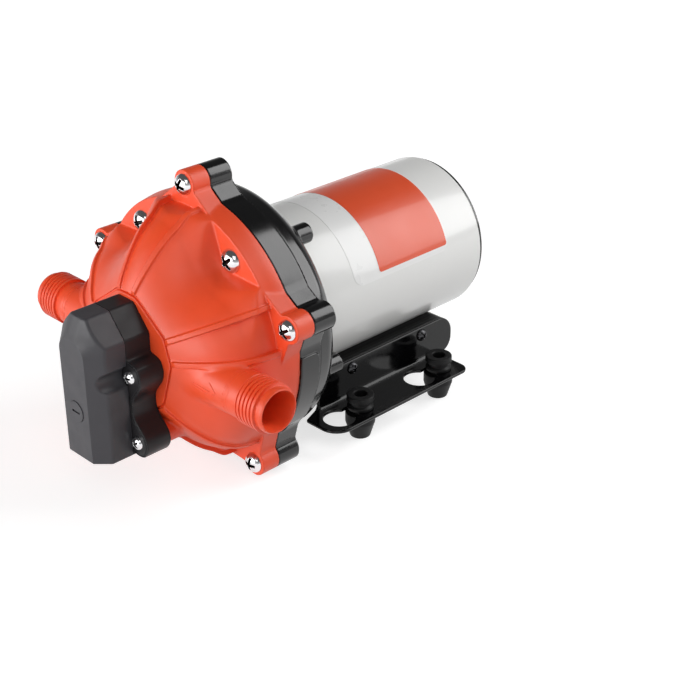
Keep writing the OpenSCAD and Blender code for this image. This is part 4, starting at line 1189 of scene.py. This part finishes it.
# A thread's flank, in shares of a pitch from the middle of a crest, and lengths in which it starts and ends
FLANK_SPAN = (0.3, 0.42)
GROOVE_FROM = THREAD_FROM + 0.3
GROOVE_FULL = THREAD_FROM + 1.2
CREST_RISE = 0.2
CREST_FADE = 0.35

# Where a port's outside is drawn finely, and in what steps
COLLAR_END = THREAD_FROM - 0.4
COLLAR_STEPS = 60
FINE_FROM = THREAD_FROM - 0.3
FINE_TO = PORT_END - 1.2
FINE_STEP = 0.07
PORT_TURNS = 192

# Outline of a port's lip and bore, as radius and distance from the middle
PORT_LIP = (
    (TIP_R + 0.3, PORT_END - 1.05), (TIP_R, PORT_END - 0.2), (TIP_R - 0.15, PORT_END),
    (MOUTH_R + 0.1, PORT_END), (MOUTH_R, PORT_END - 0.15), (MOUTH_R - 0.2, PORT_END - 1.5),
    (PORT_BORE + 0.2, PORT_END - 4), (PORT_BORE, PORT_END - 5.5), (PORT_BORE, PORT_COLLAR),
)


def thread_radius(s, angle):
    """Outer radius of a port beyond its fairing: two fine lines, a helical thread and a tapered lip."""
    base = COLLAR_R + (THREAD_ROOT - COLLAR_R) * ramp(s, COLLAR_LINES[1], THREAD_FROM)
    for line in COLLAR_LINES:
        base = base - LINE_DEPTH * np.exp(-((s - line) / LINE_HALF) ** 2)
    turn = (s - THREAD_FROM) / THREAD_PITCH - angle / (2 * math.pi)
    groove = ramp(np.abs(turn % 1 - 0.5), *FLANK_SPAN) * ramp(s, GROOVE_FROM, GROOVE_FULL)
    reach = ramp(s, THREAD_FROM - CREST_RISE, THREAD_FROM) * (1 - ramp(s, THREAD_TO - CREST_FADE, THREAD_TO))
    return base + (THREAD_R - THREAD_ROOT) * reach * (1 - groove)


def port_end(name, side):
    """The collar, the helical thread and the bore at the end of a port, from the fairing out."""
    collar = np.linspace(PORT_COLLAR, COLLAR_END, COLLAR_STEPS)
    s = np.concatenate([collar, np.arange(FINE_FROM, FINE_TO, FINE_STEP)])
    rows = [np.stack([thread_radius(s, a), s], 1) for a in ring_angles(PORT_TURNS)]
    points, quads = turned(np.stack([np.concatenate([row, PORT_LIP]) for row in rows]))
    ahead, up = (1, 0) if side > 0 else (0, 1)
    placed = np.stack([PORT_X + points[:, ahead], side * points[:, 2], PORT_Z + points[:, up]], 1)
    put(name, creased(mesh_from(name, placed, quads)), "pump", "head_plastic", "pump_head")


# Lines of the flow mark, as distances from the middle and angles about the port from its front up
FLOW_LINES = (
    ((35.5, 6), (45.6, 5.1)),
    ((36.3, 0.4), (44.4, -2.4)),
    ((44.3, 25.4), (48.4, 8.4), (45.5, -5.2)),
)
FLOW_HALF = 0.22
FLOW_STEPS = 40
BEAD_SIDES = 8
BEAD_SWELL = 2
BEAD_TIP = 0.05


def bead(points, normals, half):
    """A thin round bead through points, pointed at both ends, and its quads."""
    along = np.gradient(points, axis=0)
    along /= np.linalg.norm(along, axis=1)[:, None]
    across = np.cross(along, normals)
    turn = ring_angles(BEAD_SIDES)
    place = np.arange(len(points))
    size = half * np.minimum(1, np.minimum(place, place[::-1]) / BEAD_SWELL + BEAD_TIP)
    ring = np.cos(turn)[None, :, None] * normals[:, None] + np.sin(turn)[None, :, None] * across[:, None]
    places = points[:, None] + size[:, None, None] * ring
    return places.reshape(-1, 3), grid_quads(len(points), BEAD_SIDES, wrap_rows=False)


def flow_mark(name, side):
    """The moulded arrow on a port's fairing: fine beads that follow its surface."""
    all_points, all_quads = [], []
    count = 0
    for line in FLOW_LINES:
        stops = np.array(line, float)
        t = np.linspace(0, len(stops) - 1, FLOW_STEPS)
        s = np.interp(t, np.arange(len(stops)), stops[:, 0])
        a = np.radians(np.interp(t, np.arange(len(stops)), stops[:, 1]))
        normals = np.stack([-np.cos(a), np.zeros_like(a), np.sin(a)], 1)
        middle = np.stack([np.full_like(s, PORT_X), side * s, PORT_Z + fairing_rise(s)], 1)
        points, quads = bead(middle + fairing_radius(s)[:, None] * normals, normals, FLOW_HALF)
        all_points.append(points)
        all_quads.append(quads + count)
        count += len(points)
    mesh = mesh_from(name, np.concatenate(all_points), np.concatenate(all_quads))
    put(name, mesh, "pump", "head_plastic", "pump_head")


# Boxes that hold the fields, a little larger than the pieces
HEAD_BOX = ((BORDER_X - 0.6, -67.2, 2.6), (CLAMP_X + 0.9, 67.2, 130.3))
BAND_BOX = ((CLAMP_X - 0.7, -67.4, 2.2), (SEAM_X + 0.8, 67.4, 130.3))
BELL_BOX = ((SEAM_X - 1, -57.6, 2.4), (POST_END + 0.9, 57.6, 118))
COVER_BOX = ((COVER_X - 0.7, -15, 21), (BASE_X + 0.9, 15, 86))
BASE_BOX = ((BASE_X - 0.7, -25, 20), (BORDER_X + 0.7, 25, 86))
NEAR_RAIL_BOX = ((-50.8, -51.8, 11.5), (47.3, -27.6, 31.6))
FAR_RAIL_BOX = ((-50.8, 27.6, 11.5), (47.3, 51.8, 31.6))
SADDLE_BOX = ((WEB_FRONT - 0.8, -29.4, 20.9), (WEB_REAR + 0.8, 29.4, 31.5))
HEAD_TRIANGLES = 150000

# The number after a box is the size of its cells
shaped_piece("pump_head", head_field, HEAD_BOX, 0.5, "head_plastic", HEAD_TRIANGLES)
port_end("outlet_port_end", -1)
port_end("inlet_port_end", 1)
flow_mark("outlet_flow_mark", -1)
shaped_piece("drive_housing", band_field, BAND_BOX, 0.55, "housing_plastic")
shaped_piece("motor_flange", bell_field, BELL_BOX, 0.6, "housing_plastic")
shaped_piece("switch_cover", cover_field, COVER_BOX, 0.4, "switch_cover_plastic")
shaped_piece("switch_base", base_field, BASE_BOX, 0.4, "switch_base_plastic")
shaped_piece("near_rail", rail_field, NEAR_RAIL_BOX, 0.4, "base_paint")
shaped_piece("far_rail", lambda x, y, z: rail_field(x, -y, z), FAR_RAIL_BOX, 0.4, "base_paint")
shaped_piece("motor_saddle", saddle_field, SADDLE_BOX, 0.4, "base_paint")

# Head and shank radius of each kind of screw
SCREW_SIZES = {
    "lug_screws": (5.0, 2.5),
    "inner_screws": (5.6, 2.0),
    "switch_screws": (3.3, 1.6),
    "rail_screws": (3.2, 1.8),
    "through_bolts": (3.4, 2.0),
}
BOLT_X = CAN_REAR_X + 1.5


def screws(node, places, slot="screw_steel"):
    """Equal screws that stand for a node."""
    head_r, shank_r = SCREW_SIZES[node]
    put("form_" + node, screw_copies(node, head_r, shank_r, places), "pump", slot, node)


# The number after a screw's place turns its cross
screws("lug_screws", [polar_place(LUG_X, LUG_PITCH, FIRST_LUG + LUG_STEP * k, 20 + 37 * k) for k in range(5)])
screws("inner_screws", [polar_place(POCKET_X, INNER_PITCH, a, 12 + a) for a in INNER_SCREWS])
screws("switch_screws", [screw_place(BASE_X, sign * p[0], AXIS_Z + p[1], 40 + 50 * sign + p[1])
    for sign in (-1, 1) for p in (SWITCH_UPPER, SWITCH_LOWER)])
screws("rail_screws", [screw_place(x, sign * -WEB_Y, RAIL_SCREW_Z, 25 + x, (0, sign, 0))
    for sign in (-1, 1) for x in RAIL_SCREWS], "rail_screw_steel")
screws("through_bolts", [polar_place(BOLT_X, BOLT_PITCH, a, 30, (-1, 0, 0)) for a in (-90, 90)])


# Outline of the can, as radius, station and corner radius
CAN_INSIDE = CAN_R - CAN_WALL
CAN_OUTLINE = (
    (CAN_R, BELL_X, 0.35), (CAN_R, CAN_REAR_X, 1.3),
    (CAN_INSIDE, CAN_REAR_X, 0.12), (CAN_INSIDE, BELL_X, 0.3),
)


def motor_can():
    """The white can, a tube with round edges."""
    points, quads = lathe_points(rounded(CAN_OUTLINE, steps=6), turns=192)
    mesh = creased(mesh_from("motor_can", along_pump(points), quads), CAN_CREASE)
    put("form_motor_can", mesh, "pump", "can_paint", "motor_can")


def film(name, stations, angles, layers, corner_r):
    """A film on the can with round corners, between two stations, angles and heights."""
    rows = 60
    across = 90
    corner_steps = 14
    x0, x1 = stations
    a0, a1 = angles
    r_in, r_out = CAN_R + layers[0], CAN_R + layers[1]
    edge = corner_r * (1 - np.cos(np.linspace(0, math.pi / 2, corner_steps)))
    x = np.concatenate([x0 + edge, np.linspace(x0 + corner_r, x1 - corner_r, rows)[1:-1], (x1 - edge)[::-1]])
    near = np.minimum(np.minimum(x - x0, x1 - x), corner_r)
    inset = corner_r - np.sqrt(np.maximum(corner_r ** 2 - (corner_r - near) ** 2, 0))
    inset = np.degrees(inset / r_out)
    t = np.linspace(0, 1, across)
    a = np.radians((a0 + inset)[:, None] + (a1 - a0 - 2 * inset)[:, None] * t[None, :])
    wide = np.repeat(x[:, None], across, 1)
    sheets = [np.stack([wide, r * np.cos(a), AXIS_Z + r * np.sin(a)], -1) for r in (r_out, r_in)]
    n, m = len(x), across
    points = np.concatenate([sheet.reshape(-1, 3) for sheet in sheets])
    top = grid_quads(n, m, wrap_rows=False, wrap_columns=False)
    under = top[:, ::-1] + n * m
    ring = np.concatenate([np.arange(m), np.arange(1, n) * m + m - 1, (n - 1) * m + np.arange(m - 2, -1, -1),
        np.arange(n - 2, 0, -1) * m])
    ahead = np.roll(ring, -1)
    rim = np.stack([ring, ahead, ahead + n * m, ring + n * m], 1)
    return creased(mesh_from(name, points, np.concatenate([top, under, rim])))


# Films on the can: stations along it, angles round it, heights of both faces above it and corner radius
LABEL = ((-7.4, 35.6), (48, 163), (0.02, 0.2), 1.2)
WHITE_FIELD = ((-22.5, 36.5), (46.5, 167), (-0.05, 0.1), 5)
motor_can()
put("form_motor_label", film("motor_label", *LABEL), "pump", "label_film", "motor_label")
put("white_sticker", film("white_sticker", *WHITE_FIELD), "pump", "can_paint", material=STICKER)

# Outline of a foot from its bore at the floor outward and up, as radius, height and corner radius
NECK_LOW = RAIL_Z - FOOT_GAP
NECK_HIGH = RAIL_Z + SHEET_T + FOOT_GAP
FOOT_H = 20.8
FOOT_OUTLINE = (
    (2.75, 0, 0.3), (4.5, 0, 0.6), (6.7, 7.4, 1.5), (6.7, NECK_LOW, 0.4), (FOOT_NECK_R, NECK_LOW, 0.05),
    (FOOT_NECK_R, NECK_HIGH, 0.05), (5.9, NECK_HIGH, 0.3), (5.9, 15.3, 0.6), (4.8, 16.1, 0.35),
    (4.8, 17.5, 0.35), (6.1, 18.0, 0.3), (6.1, FOOT_H, 0.4), (2.9, FOOT_H, 0.5),
)


def foot(node, x, y):
    """A rubber foot that rides on its own body."""
    points, quads = lathe_points(rounded(FOOT_OUTLINE, steps=4), turns=72)
    mesh = creased(mesh_from(node, points + np.array([x, y, 0]), quads))
    put("form_" + node, mesh, node, "foot_rubber", node)


for side_name, side in (("near", -1), ("far", 1)):
    for end_name, end in (("front", -1), ("rear", 1)):
        foot(side_name + "_" + end_name + "_foot", end * FOOT_X, side * FOOT_Y)


# CAD nodes that stay: each takes its slot's material, and the visible ones get round edges
slots = {part["node"]: part["material_slot"] for part in frame["record"]["subparts"]}
EDGES = {"motor_end_cap": 0.35, "wire_grommet": 0.4, "adjuster_plug": 0.25}
WELD_GAP = 0.01
for node, cad in frame["nodes"].items():
    cad.data.materials.clear()
    cad.data.materials.append(MATERIALS[slots[node]])
    if node in EDGES:
        weld = cad.modifiers.new("weld", "WELD")
        weld.merge_threshold = WELD_GAP * MM
        bevel = cad.modifiers.new("bevel", "BEVEL")
        bevel.width = EDGES[node] * MM
        bevel.segments = 3
        bevel.angle_limit = math.radians(40)
        bevel.harden_normals = True


# Floor, lights and camera, in metres
FLOOR_HALF = 40
FLOOR_GREY = 0.55
# Distance from the pump's origin and strength of the floor's glow there
GLOW_FROM = (0.2, 0.7)
GLOW_TO = (0.9, 1.0)


def reckon(tree, operation, one, two, clamp=False):
    """Output of a math node that takes two outputs."""
    made = tree.nodes.new("ShaderNodeMath")
    made.operation = operation
    made.use_clamp = clamp
    tree.links.new(one, made.inputs[0])
    tree.links.new(two, made.inputs[1])
    return made.outputs[0]


def studio_floor():
    """A pale floor that keeps the shadow and looks whiter to the camera the farther it is from the pump."""
    mesh = bpy.data.meshes.new("floor")
    half = FLOOR_HALF
    corners = [(-half, -half, 0), (half, -half, 0), (half, half, 0), (-half, half, 0)]
    mesh.from_pydata(corners, [], [(0, 1, 2, 3)])
    floor = add("floor", mesh)
    paper = bpy.data.materials.new("paper")
    paper.use_nodes = True
    tree = paper.node_tree
    tree.nodes.clear()
    matte = tree.nodes.new("ShaderNodeBsdfDiffuse")
    matte.inputs["Color"].default_value = (FLOOR_GREY, FLOOR_GREY, FLOOR_GREY, 1)
    glow = tree.nodes.new("ShaderNodeEmission")
    path = tree.nodes.new("ShaderNodeLightPath").outputs
    seen = reckon(tree, "ADD", path["Is Camera Ray"], path["Is Glossy Ray"])
    seen = reckon(tree, "ADD", seen, path["Is Transmission Ray"], True)
    place = tree.nodes.new("ShaderNodeNewGeometry")
    far = tree.nodes.new("ShaderNodeVectorMath")
    far.operation = "LENGTH"
    tree.links.new(place.outputs["Position"], far.inputs[0])
    fade = map_range(tree, far.outputs["Value"], GLOW_FROM, GLOW_TO)
    tree.links.new(reckon(tree, "MULTIPLY", seen, fade), glow.inputs["Strength"])
    both = tree.nodes.new("ShaderNodeAddShader")
    out = tree.nodes.new("ShaderNodeOutputMaterial")
    tree.links.new(matte.outputs[0], both.inputs[0])
    tree.links.new(glow.outputs[0], both.inputs[1])
    tree.links.new(both.outputs[0], out.inputs["Surface"])
    mesh.materials.append(paper)


# Height of the view above level and grey of the sky there
HORIZON = (0.10, 0.5)
OVERHEAD = (0.45, 0.1)


def sky():
    """A grey horizon that darkens overhead, as a studio does above its lamps."""
    world = bpy.data.worlds.new("studio")
    bpy.context.scene.world = world
    world.use_nodes = True
    tree = world.node_tree
    back = tree.nodes["Background"]
    where = tree.nodes.new("ShaderNodeTexCoord")
    split = tree.nodes.new("ShaderNodeSeparateXYZ")
    tree.links.new(where.outputs["Generated"], split.inputs[0])
    shade = tree.nodes.new("ShaderNodeValToRGB")
    stops = shade.color_ramp.elements
    for stop, (height, grey) in zip(stops, (HORIZON, OVERHEAD)):
        stop.position = height
        stop.color = (grey, grey, grey, 1)
    tree.links.new(split.outputs["Z"], shade.inputs["Fac"])
    tree.links.new(shade.outputs["Color"], back.inputs["Color"])


MIDDLE = Vector((-0.045, 0, 0.06))


def softbox(name, toward, distance, width, height, power):
    """A soft lamp in a direction from the pump's middle, facing it."""
    lamp = bpy.data.lights.new(name, "AREA")
    lamp.shape = "RECTANGLE"
    lamp.size = width
    lamp.size_y = height
    lamp.energy = power
    holder = add(name, lamp)
    away = Vector(toward).normalized()
    holder.location = MIDDLE + away * distance
    holder.rotation_mode = "QUATERNION"
    holder.rotation_quaternion = away.to_track_quat("Z", "Y")


studio_floor()
sky()
# Direction from the pump's middle, distance, width and height of each lamp, and its power in watts
softbox("left_box", (-0.93, 0.22, 0.12), 0.9, 1.0, 0.6, 8.4)
softbox("right_box", (0.66, -0.48, 0.54), 0.95, 0.5, 1.0, 6.8)
softbox("front_box", (-0.6, -0.7, 0.75), 1.1, 0.6, 0.6, 1.8)

EYE = (-0.4201, -0.4332, 0.3376)
LOOK = (0.6213, 0.6277, -0.4689)
LENS_MM = 75.03
SENSOR_MM = 36
camera = bpy.data.cameras.new("camera")
camera.lens = LENS_MM
camera.sensor_width = SENSOR_MM
eye = add("camera", camera)
eye.location = EYE
eye.rotation_mode = "QUATERNION"
eye.rotation_quaternion = Vector(LOOK).to_track_quat("-Z", "Y")
bpy.context.scene.camera = eye
bpy.context.scene.view_settings.view_transform = "Standard"
